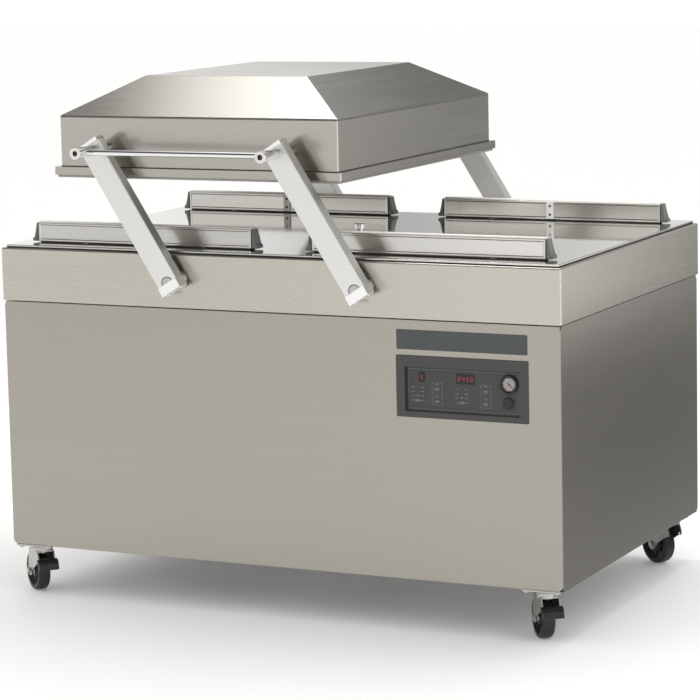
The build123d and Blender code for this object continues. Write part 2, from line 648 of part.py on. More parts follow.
# ============ Seal bars ============
BAR_END = BAR_L / 2
with BuildPart() as bar_master:
    with BuildSketch(Plane.XZ.offset(-BAR_D / 2)):
        with BuildLine():
            for side in (-1, 1):
                Polyline(
                    (0, 0),
                    (side * (BAR_END + BAR_FOOT), 0),
                    (side * (BAR_END + BAR_FOOT), BAR_FOOT_H),
                    (side * (BAR_END + BAR_CAP_LOW), BAR_FOOT_H),
                    (side * (BAR_END + BAR_CAP_TOP), BAR_H),
                    (0, BAR_H),
                )
        make_face()
    extrude(amount=BAR_D)
    with BuildSketch(Plane.XY.offset(BAR_H)):
        Rectangle(BAR_L, BAR_TAPE_W)
    extrude(amount=BAR_TAPE_H)
    fillet(bar_master.edges().filter_by(Axis.X).group_by(Axis.Z)[-1], 1.5)
    with BuildSketch(Plane.XY):
        with Locations((-BAR_ROD_X, 0), (BAR_ROD_X, 0)):
            Circle(BAR_ROD_R)
    extrude(amount=-(BAR_FLOAT + DECK_T + CYLINDER_H - 6))

BAR_Z = DECK_Z + BAR_FLOAT
for side_x, side_name in ((-1, "left"), (1, "right")):
    for row_y, row_name in ((FRONT_Y + BAR_INSET, "front"), (BACK_Y - BAR_INSET, "rear")):
        with BuildPart() as seal_bar:
            with Locations((side_x * BAR_X, row_y, BAR_Z)):
                add(bar_master.part)
        finish(seal_bar, f"seal_bar_{row_name}_{side_name}")

# ============ Control unit ============
UNIT_FACE_Y = FRONT_Y + CABINET_INSET - UNIT_PROUD
PANEL_FACE_Y = UNIT_FACE_Y + PANEL_RECESS
with BuildPart() as control_housing:
    with BuildSketch(front_plane(UNIT_X, UNIT_FACE_Y, UNIT_Z)):
        RectangleRounded(UNIT_W, UNIT_H, 3)
    extrude(amount=-UNIT_PROUD)
    fillet(control_housing.faces().sort_by(Axis.Y)[0].edges(), 1.5)
    with BuildSketch(front_plane(UNIT_X, UNIT_FACE_Y + UNIT_PROUD, UNIT_Z)):
        Rectangle(UNIT_W - 20, UNIT_H - 20)
    extrude(amount=-UNIT_DEEP)
    with BuildSketch(front_plane(UNIT_X, UNIT_FACE_Y, PANEL_Z)):
        Rectangle(PANEL_W, PANEL_H)
    extrude(amount=-(UNIT_PROUD + UNIT_DEEP - 3), mode=Mode.SUBTRACT)
finish(control_housing, "control_housing")

with BuildPart() as header_strip:
    with BuildSketch(front_plane(UNIT_X, FRONT_Y + CABINET_INSET, STRIP_Z)):
        RectangleRounded(UNIT_W - 4, STRIP_H, 2)
    extrude(amount=2.0)
    chamfer(header_strip.faces().sort_by(Axis.Y)[0].edges(), 0.6)
finish(header_strip, "header_strip")

FREE = 0.3  # play around buttons and keys
with BuildPart() as control_panel:
    with BuildSketch(front_plane(UNIT_X, PANEL_FACE_Y, PANEL_Z)):
        Rectangle(PANEL_W, PANEL_H)
    extrude(amount=-PANEL_T)
    with BuildSketch(front_plane(BUTTON[0], PANEL_FACE_Y, BUTTON[1])):
        Circle(BUTTON_R + 3)
    extrude(amount=1.5)
    with BuildSketch(front_plane(BUTTON[0], PANEL_FACE_Y - 1.5, BUTTON[1])):
        Circle(BUTTON_R + FREE)
    extrude(amount=-(PANEL_T + 1.5), mode=Mode.SUBTRACT)
    with BuildSketch(front_plane(0, PANEL_FACE_Y, 0)):
        with Locations(*KEYS.values()):
            RectangleRounded(KEY_W + 2 * FREE, KEY_H + 2 * FREE, 2)
    extrude(amount=-PANEL_T, mode=Mode.SUBTRACT)
finish(control_panel, "control_panel")

GAUGE_DEEP = 7.0
GAUGE_WALL = 4.0
NEEDLE_PIN_R = 1.2
NEEDLE_REST = -135.0  # turned from upright to the scale's zero, at the lower right
with BuildPart() as gauge_case:
    with BuildSketch(front_plane(GAUGE[0], PANEL_FACE_Y, GAUGE[1])):
        Circle(GAUGE_R)
    extrude(amount=GAUGE_DEEP)
    chamfer(gauge_case.faces().sort_by(Axis.Y)[0].edges(), 1.2)
    with BuildSketch(front_plane(GAUGE[0], PANEL_FACE_Y - 2, GAUGE[1])):
        Circle(GAUGE_R - GAUGE_WALL)
    extrude(amount=GAUGE_DEEP, mode=Mode.SUBTRACT)
    with BuildSketch(front_plane(GAUGE[0], PANEL_FACE_Y - 2, GAUGE[1])):
        Circle(NEEDLE_PIN_R)
    extrude(amount=3.5)
finish(gauge_case, "gauge_case")

with BuildPart() as gauge_needle:
    with BuildSketch(front_plane(GAUGE[0], PANEL_FACE_Y - 3, GAUGE[1])):
        Circle(2.6)
        Polygon((-1.3, -5), (1.3, -5), (0.4, 15), (-0.4, 15), rotation=NEEDLE_REST, align=None)
        Circle(NEEDLE_PIN_R + RUNNING, mode=Mode.SUBTRACT)
    extrude(amount=1.2)
finish(gauge_needle, "gauge_needle")

BUTTON_PROUD = 5.0
with BuildPart() as main_button:
    with BuildSketch(front_plane(BUTTON[0], PANEL_FACE_Y - BUTTON_PROUD, BUTTON[1])):
        Circle(BUTTON_R)
    extrude(amount=-(BUTTON_PROUD + PANEL_T + 4))
    fillet(main_button.faces().sort_by(Axis.Y)[0].edges(), 2.0)
finish(main_button, "main_button")

KEY_PROUD = 1.2
for name, (key_x, key_z) in KEYS.items():
    with BuildPart() as key:
        with BuildSketch(front_plane(key_x, PANEL_FACE_Y - KEY_PROUD, key_z)):
            RectangleRounded(KEY_W, KEY_H, 2)
        extrude(amount=-(KEY_PROUD + PANEL_T + 1))
        fillet(key.faces().sort_by(Axis.Y)[0].edges(), 0.6)
    finish(key, name)

# ============ Pump and electrics, on the base frame's cross members ============
FLOOR_Z = CABINET_Z + TUBE_H
PUMP_X = (CROSS_X[0] + CROSS_X[1]) / 2
PUMP_Y = FRONT_Y + 330.0
PUMP_W = 400.0
PUMP_D = 240.0
PUMP_H = 250.0
PUMP_WALL = 9.0
PUMP_LIFT = 30.0
PUMP_Z = FLOOR_Z + PUMP_LIFT
PUMP_TOP = PUMP_Z + PUMP_H
FOOT_D = 60.0
HOSE_R = 22.0
HOSE_T = 4.0
INLET_R = 42.0
INLET_H = 20.0
INLET_X = PUMP_X + 90.0
with BuildPart() as vacuum_pump:
    with BuildSketch(Plane.XY.offset(PUMP_Z)):
        with Locations((PUMP_X, PUMP_Y)):
            RectangleRounded(PUMP_W, PUMP_D, 30)
    extrude(amount=PUMP_H)
    fillet(vacuum_pump.faces().sort_by(Axis.Z)[-1].edges(), 20)
    offset(amount=-PUMP_WALL, openings=vacuum_pump.faces().sort_by(Axis.Z)[0])
    with BuildSketch(Plane.XY.offset(PUMP_Z)):
        with Locations((PUMP_X, PUMP_Y)):
            RectangleRounded(PUMP_W, PUMP_D, 30)
            Rectangle(PUMP_W - 120, PUMP_D - 80, mode=Mode.SUBTRACT)
    extrude(amount=PUMP_WALL)
    with BuildSketch(Plane.XY.offset(FLOOR_Z)):
        with Locations((PUMP_X, PUMP_Y)):
            with GridLocations(CROSS_X[1] - CROSS_X[0], PUMP_D - FOOT_D, 2, 2):
                Rectangle(TUBE_W, FOOT_D)
    extrude(amount=PUMP_LIFT)
    with BuildSketch(Plane.XY.offset(PUMP_TOP)):
        with Locations((INLET_X, PUMP_Y)):
            Circle(INLET_R)
    extrude(amount=INLET_H)
    with BuildSketch(Plane.XY.offset(PUMP_TOP + INLET_H)):
        with Locations((INLET_X, PUMP_Y)):
            Circle(HOSE_R - HOSE_T)
    extrude(amount=-(INLET_H + PUMP_WALL), mode=Mode.SUBTRACT)
finish(vacuum_pump, "vacuum_pump")

# The motor hangs on the pump's flange: a flange, a finned barrel, a fan cowl and a terminal box.
MOTOR_R = 95.0
TERMINAL_BOX = (110.0, 90.0)
TERMINAL_TOP = 135.0  # above the motor's axis
FIN = (16.0, 4.0)
MOTOR_Z = PUMP_Z + PUMP_H / 2
FLANGE_R = 115.0
FLANGE_L = 18.0
BARREL_R = 87.0
BARREL_L = 210.0
COWL_L = 72.0
FIN_COUNT = 24
with BuildPart() as pump_motor:
    motor_face = Plane(origin=(PUMP_X + PUMP_W / 2, PUMP_Y, MOTOR_Z), x_dir=(0, 1, 0), z_dir=(1, 0, 0))
    with BuildSketch(motor_face):
        Circle(FLANGE_R)
    extrude(amount=FLANGE_L)
    with BuildSketch(motor_face.offset(FLANGE_L)):
        Circle(BARREL_R)
        with PolarLocations(BARREL_R + 2, FIN_COUNT):
            Rectangle(*FIN)
    extrude(amount=BARREL_L)
    with BuildSketch(motor_face.offset(FLANGE_L + BARREL_L)):
        Circle(MOTOR_R)
    extrude(amount=COWL_L)
    with BuildSketch(Plane.XY.offset(MOTOR_Z)):
        with Locations((PUMP_X + PUMP_W / 2 + FLANGE_L + BARREL_L / 2, PUMP_Y)):
            RectangleRounded(*TERMINAL_BOX, 8)
    extrude(amount=TERMINAL_TOP)
finish(pump_motor, "pump_motor")

# A solenoid valve under the port, with its coil to one side.
VALVE_R = 25.0
VALVE_Z = 790.0
COIL_W = 36.0
COIL_L = 65.0
COIL_RISE = 38.0
with BuildPart() as vacuum_valve:
    with BuildSketch(Plane.XY.offset(VALVE_Z)):
        with Locations((PORT_X, PORT_Y)):
            Circle(VALVE_R)
            Circle(PORT_R, mode=Mode.SUBTRACT)
    extrude(amount=DECK_UNDER - VALVE_Z)
    with BuildSketch(Plane.YZ.offset(PORT_X + VALVE_R - 5)):
        with Locations((PORT_Y, VALVE_Z + COIL_RISE)):
            Rectangle(COIL_W, COIL_W)
    extrude(amount=COIL_L)
finish(vacuum_valve, "vacuum_valve")

HOSE_DROP = 100.0  # straight runs at its two ends
HOSE_RISE = 93.0
HOSE_BEND_R = 55.0
with BuildPart() as vacuum_hose:
    with BuildLine() as hose_path:
        FilletPolyline(
            (PORT_X, PORT_Y, VALVE_Z),
            (PORT_X, PORT_Y, VALVE_Z - HOSE_DROP),
            (INLET_X, PUMP_Y, PUMP_TOP + INLET_H + HOSE_RISE),
            (INLET_X, PUMP_Y, PUMP_TOP + INLET_H),
            radius=HOSE_BEND_R,
        )
    with BuildSketch(Plane(origin=hose_path.line @ 0, z_dir=hose_path.line % 0)):
        Circle(HOSE_R)
        Circle(HOSE_R - HOSE_T, mode=Mode.SUBTRACT)
    sweep(path=hose_path.line)
finish(vacuum_hose, "vacuum_hose")

# An iron core standing on a cross member, with its winding round the middle.
CORE_W = 100.0
CORE_D = 150.0
CORE_H = 130.0
YOKE_H = 28.0  # bare core below and above the winding
TRANSFORMER_Y = FRONT_Y + 640.0
with BuildPart() as transformer:
    with BuildSketch(Plane.XY.offset(FLOOR_Z)):
        with Locations((CROSS_X[0], TRANSFORMER_Y)):
            Rectangle(CORE_W, CORE_D)
    extrude(amount=CORE_H)
    with BuildSketch(Plane.XY.offset(FLOOR_Z + YOKE_H)):
        with Locations((CROSS_X[0], TRANSFORMER_Y)):
            RectangleRounded(CORE_D, CORE_W, 14)
    extrude(amount=CORE_H - 2 * YOKE_H)
finish(transformer, "transformer")

# An open-backed sheet box on the right-hand side panel.
BOX_W = 320.0
BOX_H = 260.0
BOX_D = 110.0
BOX_Y = FRONT_Y + 420.0
BOX_Z = 500.0
with BuildPart() as control_box:
    with BuildSketch(Plane(origin=(PANEL_HALF, BOX_Y, BOX_Z), x_dir=(0, 1, 0), z_dir=(-1, 0, 0))):
        Rectangle(BOX_W, BOX_H)
    extrude(amount=BOX_D)
    fillet(control_box.faces().sort_by(Axis.X)[0].edges(), 4)
    offset(amount=-SHEET, openings=control_box.faces().sort_by(Axis.X)[-1])
finish(control_box, "control_box")

GLAND_BORE_R = 6.0
GLAND_OUT = 24.0
GLAND_Y = BACK_Y - CABINET_INSET
with BuildPart() as cable_gland:
    with BuildSketch(revolve_plane(GLAND_X, GLAND_Y, GLAND_Z)):
        with BuildLine():
            Polyline(
                (GLAND_OUT, GLAND_BORE_R),
                (GLAND_OUT, GLAND_BORE_R + 4),
                (GLAND_OUT - 5, GLAND_R + 2),
                (8, GLAND_R + 2),
                (8, GLAND_R + 5),
                (0, GLAND_R + 5),
                (0, GLAND_R),
                (-SHEET, GLAND_R),
                (-SHEET, GLAND_R + 5),
                (-SHEET - 6, GLAND_R + 5),
                (-SHEET - 6, GLAND_BORE_R),
                close=True,
            )
        make_face()
    revolve(axis=y_axis(GLAND_X, GLAND_Z))
finish(cable_gland, "cable_gland")

# ============ Casters: masters about the swivel axis, trail along +X ============
CROWN_Z = 105.0
HEAD_R = 27.0
HEAD_TOP = 119.6
RACE_T = 3.0
KINGPIN_R = 6.0
KINGPIN_Z = 98.0
KINGPIN_NUT = 6.0
BOLT_PITCH = (78.0, 62.0)
BOLT_HEAD_R = 7.0
BOLT_HEAD_H = 5.0
PLATE_UNDER = CABINET_Z - PLATE_T
with BuildPart() as plate_master:
    with BuildSketch(Plane.XY.offset(CABINET_Z)):
        RectangleRounded(PLATE_W, PLATE_D, 8)
    extrude(amount=-PLATE_T)
    with BuildSketch(Plane.XY.offset(PLATE_UNDER)):
        Circle(HEAD_R + 2)
    extrude(amount=-RACE_T)
    with BuildSketch(Plane.XY.offset(PLATE_UNDER)):
        Circle(KINGPIN_R)
    extrude(amount=-(PLATE_UNDER - KINGPIN_Z))
    with BuildSketch(Plane.XY.offset(KINGPIN_Z)):
        RegularPolygon(KINGPIN_R + 3, 6)
    extrude(amount=KINGPIN_NUT)
    with BuildSketch(Plane.XY.offset(PLATE_UNDER)):
        with GridLocations(*BOLT_PITCH, 2, 2):
            RegularPolygon(BOLT_HEAD_R, 6)
    extrude(amount=-BOLT_HEAD_H)

FORK_T = 3.0
FORK_IN = 19.5  # swivel plane to the inside of each leg
FORK_HUB_R = 13.0
AXLE_NUT_R = 8.0
AXLE_NUT_T = 5.0
AXLE_END = FORK_IN + FORK_T + 4
PEDAL_PIVOT = (-26.0, 82.0)
PEDAL_PIN_R = 3.0
PEDAL_W = 52.0
with BuildPart() as fork_master:
    with BuildSketch(Plane.XY.offset(CROWN_Z)):
        with Locations((6, 0)):
            RectangleRounded(62, 2 * (FORK_IN + FORK_T), 6)
    extrude(amount=FORK_T)
    with BuildSketch(Plane.XY.offset(CROWN_Z)):
        Circle(HEAD_R)
    extrude(amount=HEAD_TOP - CROWN_Z)
    fillet(fork_master.faces().sort_by(Axis.Z)[-1].edges(), 4)
    for leg_side in (-1, 1):
        with BuildSketch(Plane.XZ.offset(leg_side * FORK_IN)):
            with BuildLine():
                Polyline(
                    (-25, CROWN_Z + FORK_T),
                    (36, CROWN_Z + FORK_T),
                    (TRAIL + FORK_HUB_R, WHEEL_R),
                    (TRAIL - FORK_HUB_R, WHEEL_R),
                    (PEDAL_PIVOT[0] + 6, PEDAL_PIVOT[1] - 6),
                    (PEDAL_PIVOT[0] - 7, PEDAL_PIVOT[1] - 2),
                    (PEDAL_PIVOT[0] - 7, PEDAL_PIVOT[1] + 8),
                    close=True,
                )
            make_face()
            with Locations((TRAIL, WHEEL_R)):
                Circle(FORK_HUB_R)
            with Locations(PEDAL_PIVOT):
                Circle(PEDAL_PIN_R + RUNNING, mode=Mode.SUBTRACT)
        extrude(amount=leg_side * FORK_T)
    with BuildSketch(Plane.XY.offset(CROWN_Z - 1)):
        Circle(KINGPIN_R + RUNNING)
    extrude(amount=HEAD_TOP, mode=Mode.SUBTRACT)
    with BuildSketch(Plane.XZ.offset(-AXLE_END)):
        with Locations((TRAIL, WHEEL_R)):
            Circle(AXLE_R)
    extrude(amount=2 * AXLE_END)
    for leg_side in (-1, 1):
        with BuildSketch(Plane.XZ.offset(leg_side * (FORK_IN + FORK_T))):
            with Locations((TRAIL, WHEEL_R)):
                RegularPolygon(AXLE_NUT_R, 6)
        extrude(amount=leg_side * AXLE_NUT_T)

with BuildPart() as wheel_master:
    with BuildSketch(revolve_plane(0, 0, 0)):
        with BuildLine():
            half = WHEEL_W / 2
            Polyline(
                (-half - 2, AXLE_R + RUNNING),
                (-half - 2, 14),
                (-9, 17),
                (-9, 34),
                (-half + 1, 37),
                (-half, 45),
                (-half + 4, WHEEL_R),
                (half - 4, WHEEL_R),
                (half, 45),
                (half - 1, 37),
                (9, 34),
                (9, 17),
                (half + 2, 14),
                (half + 2, AXLE_R + RUNNING),
                close=True,
            )
        make_face()
    revolve(axis=Axis.Y)

# The pedal's tongue lies between the fork's legs, on a pin; its hood is wider than the wheel.
HOOD_BACK = PEDAL_PIVOT[0] - 8
with BuildPart() as pedal_master:
    with BuildSketch(Plane.XZ.offset(-PEDAL_W / 2)):
        with BuildLine():
            Polyline(
                (HOOD_BACK, 89),
                (HOOD_BACK - 5, 88.5),
                (HOOD_BACK - 11, 85),
                (HOOD_BACK - 15.5, 78),
                (HOOD_BACK - 17.5, 64),
                (HOOD_BACK - 13, 62),
                (HOOD_BACK - 10, 70),
                (HOOD_BACK - 6, 74),
                (HOOD_BACK, 75),
                close=True,
            )
        make_face()
    extrude(amount=PEDAL_W)
    fillet(pedal_master.edges().filter_by(Axis.Y).group_by(Axis.X)[0], 1.8)
    with BuildSketch(Plane.XZ.offset(-FORK_IN + 0.3)):
        with BuildLine():
            Polyline(
                (HOOD_BACK, 89),
                (HOOD_BACK + 12, 88),
                (HOOD_BACK + 16, 84),
                (HOOD_BACK + 16, 78),
                (HOOD_BACK, 75),
                close=True,
            )
        make_face()
    extrude(amount=2 * FORK_IN - 0.6)
    with BuildSketch(Plane.XZ.offset(-FORK_IN - FORK_T)):
        with Locations(PEDAL_PIVOT):
            Circle(PEDAL_PIN_R)
    extrude(amount=2 * (FORK_IN + FORK_T))

# Side, end, heading of the trail in degrees, and whether it has a brake pedal.
CASTERS = {
    "front_left": (-1, -1, 140.8, True),
    "front_right": (1, -1, 127.8, True),
    "rear_left": (-1, 1, 24.0, False),
    "rear_right": (1, 1, 149.8, False),
}


def caster_spot(side_x, side_y):
    return (side_x * CASTER_X, CENTRE_Y + side_y * (BODY_D / 2 - CASTER_INSETS[side_y]), 0)


with BuildPart() as caster_plates:
    with Locations(*(caster_spot(side_x, side_y) for side_x, side_y, _, _ in CASTERS.values())):
        add(plate_master.part)
finish(caster_plates, "caster_plates")

for name, (side_x, side_y, heading, braked) in CASTERS.items():
    place = Location(caster_spot(side_x, side_y), (0, 0, heading))
    with BuildPart() as fork:
        with Locations(place):
            add(fork_master.part)
    finish(fork, f"caster_fork_{name}")
    with BuildPart() as wheel:
        with Locations(place * Location((TRAIL, 0, WHEEL_R))):
            add(wheel_master.part)
    finish(wheel, f"caster_wheel_{name}")
    if braked:
        with BuildPart() as pedal:
            with Locations(place):
                add(pedal_master.part)
        finish(pedal, f"brake_pedal_{name}")
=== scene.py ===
import json
from math import cos, pi, radians, sin

import bmesh
import bpy
from mathutils import Matrix, Vector


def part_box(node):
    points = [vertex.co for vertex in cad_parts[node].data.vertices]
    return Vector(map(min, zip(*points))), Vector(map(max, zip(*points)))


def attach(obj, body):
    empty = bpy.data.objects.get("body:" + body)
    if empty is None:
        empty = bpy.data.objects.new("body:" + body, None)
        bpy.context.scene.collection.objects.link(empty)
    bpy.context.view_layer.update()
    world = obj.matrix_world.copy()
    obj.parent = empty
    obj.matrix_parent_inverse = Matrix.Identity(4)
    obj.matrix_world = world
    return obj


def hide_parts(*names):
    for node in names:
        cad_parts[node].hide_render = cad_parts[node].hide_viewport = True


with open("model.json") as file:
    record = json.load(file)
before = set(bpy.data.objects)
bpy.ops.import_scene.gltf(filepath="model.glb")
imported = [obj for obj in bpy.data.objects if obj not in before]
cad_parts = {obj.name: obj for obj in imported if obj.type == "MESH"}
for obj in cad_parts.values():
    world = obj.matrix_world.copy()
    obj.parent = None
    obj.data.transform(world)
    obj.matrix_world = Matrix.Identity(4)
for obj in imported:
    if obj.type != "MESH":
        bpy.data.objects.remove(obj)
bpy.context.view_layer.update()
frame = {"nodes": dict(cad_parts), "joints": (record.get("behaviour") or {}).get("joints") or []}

# Looks of a double-chamber vacuum packing machine. Every mesh is in metres, in the frame's own axes:
# +X to the operator's right, +Y from the front towards the back, +Z up, the floor at z = 0.

MM = 0.001
MERGE = 0.00001  # metres: points closer than this are one point


# ---- Places, all read from the frame ----
def middle(node):
    low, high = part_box(node)
    return (low + high) / 2


def joint(name):
    return next(j for j in frame["joints"] if j["name"] == name)


band_low, band_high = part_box("chamber_band")
panel_low, panel_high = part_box("control_panel")
CENTRE_Y = (band_low.y + band_high.y) / 2
DECK_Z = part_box("deck_plate")[1].z
KEY_PROUD = 1.2 * MM
PANEL_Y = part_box("key_set")[0].y + KEY_PROUD  # face of the control panel, behind the faces of its keys
SIDES = ("left", "right")
ROWS = ("front", "rear")
ENDS = (-1, 1)
CASTER_NAMES = [f"{row}_{side}" for row in ROWS for side in SIDES]
KEY_NAMES = ["key_stop", "key_up", "key_down", "key_select", "key_program", "key_set"]


# ---- Materials ----
class Finish:
    """A Principled material, and short ways to wire noise into it."""

    def __init__(self, name, color, roughness, metallic=0.0, edge=0.0, **sockets):
        self.material = bpy.data.materials.new(name)
        self.material.use_nodes = True
        self.tree = self.material.node_tree
        self.shader = self.tree.nodes["Principled BSDF"]
        self.edge = edge
        self.set(Base_Color=(*color, 1), Roughness=roughness, Metallic=metallic, **sockets)

    def set(self, **sockets):
        for name, value in sockets.items():
            self.shader.inputs[name.replace("_", " ")].default_value = value

    def node(self, kind, **values):
        made = self.tree.nodes.new(kind)
        for name, value in values.items():
            if name in made.inputs.keys():
                made.inputs[name].default_value = value
            else:
                setattr(made, name, value)
        return made

    def wire(self, out, into):
        self.tree.links.new(out, into)

    def coords(self, scale):
        """The object's own coordinates, stretched by a scale for each axis."""
        place = self.node("ShaderNodeTexCoord")
        stretch = self.node("ShaderNodeMapping")
        stretch.inputs["Scale"].default_value = scale
        self.wire(place.outputs["Object"], stretch.inputs["Vector"])
        return stretch.outputs["Vector"]

    def noise(self, scale, detail=4.0, rough=0.6):
        made = self.node("ShaderNodeTexNoise", Scale=1.0, Detail=detail, Roughness=rough)
        self.wire(self.coords(scale), made.inputs["Vector"])
        return made.outputs["Fac"]

    def ramp(self, value, low, high, start=0.3, end=0.7):
        """A value spread from low to high, as its input goes from start to end."""
        made = self.node("ShaderNodeMapRange")
        for name, number in (("From Min", start), ("From Max", end), ("To Min", low), ("To Max", high)):
            made.inputs[name].default_value = number
        self.wire(value, made.inputs["Value"])
        return made.outputs["Result"]

    def tint(self, value, dark, light):
        made = self.node("ShaderNodeMix", data_type="RGBA")
        made.inputs[6].default_value = (*dark, 1)
        made.inputs[7].default_value = (*light, 1)
        self.wire(value, made.inputs[0])
        return made.outputs[2]

    def add(self, first, second):
        made = self.node("ShaderNodeMath", operation="ADD")
        self.wire(first, made.inputs[0])
        self.wire(second, made.inputs[1])
        return made.outputs[0]

    def bump(self, value, strength, distance):
        """Relief from a value, over edges that look rounded by a small radius."""
        made = self.node("ShaderNodeBump", Strength=strength, Distance=distance)
        self.wire(value, made.inputs["Height"])
        if self.edge:
            rounded = self.node("ShaderNodeBevel", samples=4, Radius=self.edge)
            self.wire(rounded.outputs["Normal"], made.inputs["Normal"])
        self.wire(made.outputs["Normal"], self.shader.inputs["Normal"])


def brushed(name, color, roughness, grain=(3, 3, 700), strength=0.03, spread=0.04, edge=1.2 * MM):
    """Brushed sheet: fine lines across the grain's steep axis, broad handling marks, slight tone shifts."""
    finish = Finish(name, color, roughness, metallic=1.0, edge=edge)
    lines = finish.noise(grain, detail=3.0, rough=0.7)
    broad = finish.noise(tuple(max(1.2, g / 40) for g in grain), detail=2.0)
    marks = finish.noise((5, 5, 5), detail=5.0, rough=0.65)
    worn = finish.add(finish.ramp(lines, -spread, spread), finish.ramp(marks, -spread / 4, spread / 4))
    rough = finish.add(worn, finish.ramp(broad, roughness - spread / 4, roughness + spread / 4))
    finish.wire(rough, finish.shader.inputs["Roughness"])
    shade = finish.add(finish.ramp(lines, 0.0, 0.5), finish.ramp(broad, 0.0, 0.5))
    darker = tuple(c * 0.98 for c in color)
    lighter = tuple(min(1.0, c * 1.02) for c in color)
    finish.wire(finish.tint(shade, darker, lighter), finish.shader.inputs["Base Color"])
    finish.bump(lines, strength, 0.4 * MM)
    return finish.material


def cast(name, color, roughness, metallic=0.0, pitch=160, strength=0.25, edge=0.5 * MM):
    """Cast, moulded, plated or powder-coated: an even fine grain with slight mottling."""
    finish = Finish(name, color, roughness, metallic=metallic, edge=edge)
    grain = finish.noise((pitch,) * 3, detail=4.0)
    mottle = finish.noise((9, 9, 9), detail=4.0)
    darker = tuple(c * 0.86 for c in color)
    lighter = tuple(min(1.0, c * 1.08) for c in color)
    finish.wire(finish.tint(mottle, darker, lighter), finish.shader.inputs["Base Color"])
    fine = finish.ramp(grain, roughness - 0.05, roughness + 0.06)
    rough = finish.add(fine, finish.ramp(mottle, -0.04, 0.05))
    finish.wire(rough, finish.shader.inputs["Roughness"])
    finish.bump(grain, strength, 0.3 * MM)
    return finish.material


def glow(name, color, power):
    """A lit segment behind a tinted film, with a fine grain."""
    finish = Finish(name, tuple(c * 0.5 for c in color), 0.35)
    lit = finish.tint(finish.noise((900,) * 3), tuple(c * 0.8 for c in color), color)
    finish.wire(lit, finish.shader.inputs["Emission Color"])
    finish.set(Emission_Strength=power)
    return finish.material


def clear(name, color):
    """Clear moulded cover, with faint wipe marks."""
    finish = Finish(name, color, 0.03)
    finish.set(IOR=1.45, Transmission_Weight=1.0)
    finish.wire(finish.ramp(finish.noise((60,) * 3), 0.02, 0.06), finish.shader.inputs["Roughness"])
    return finish.material


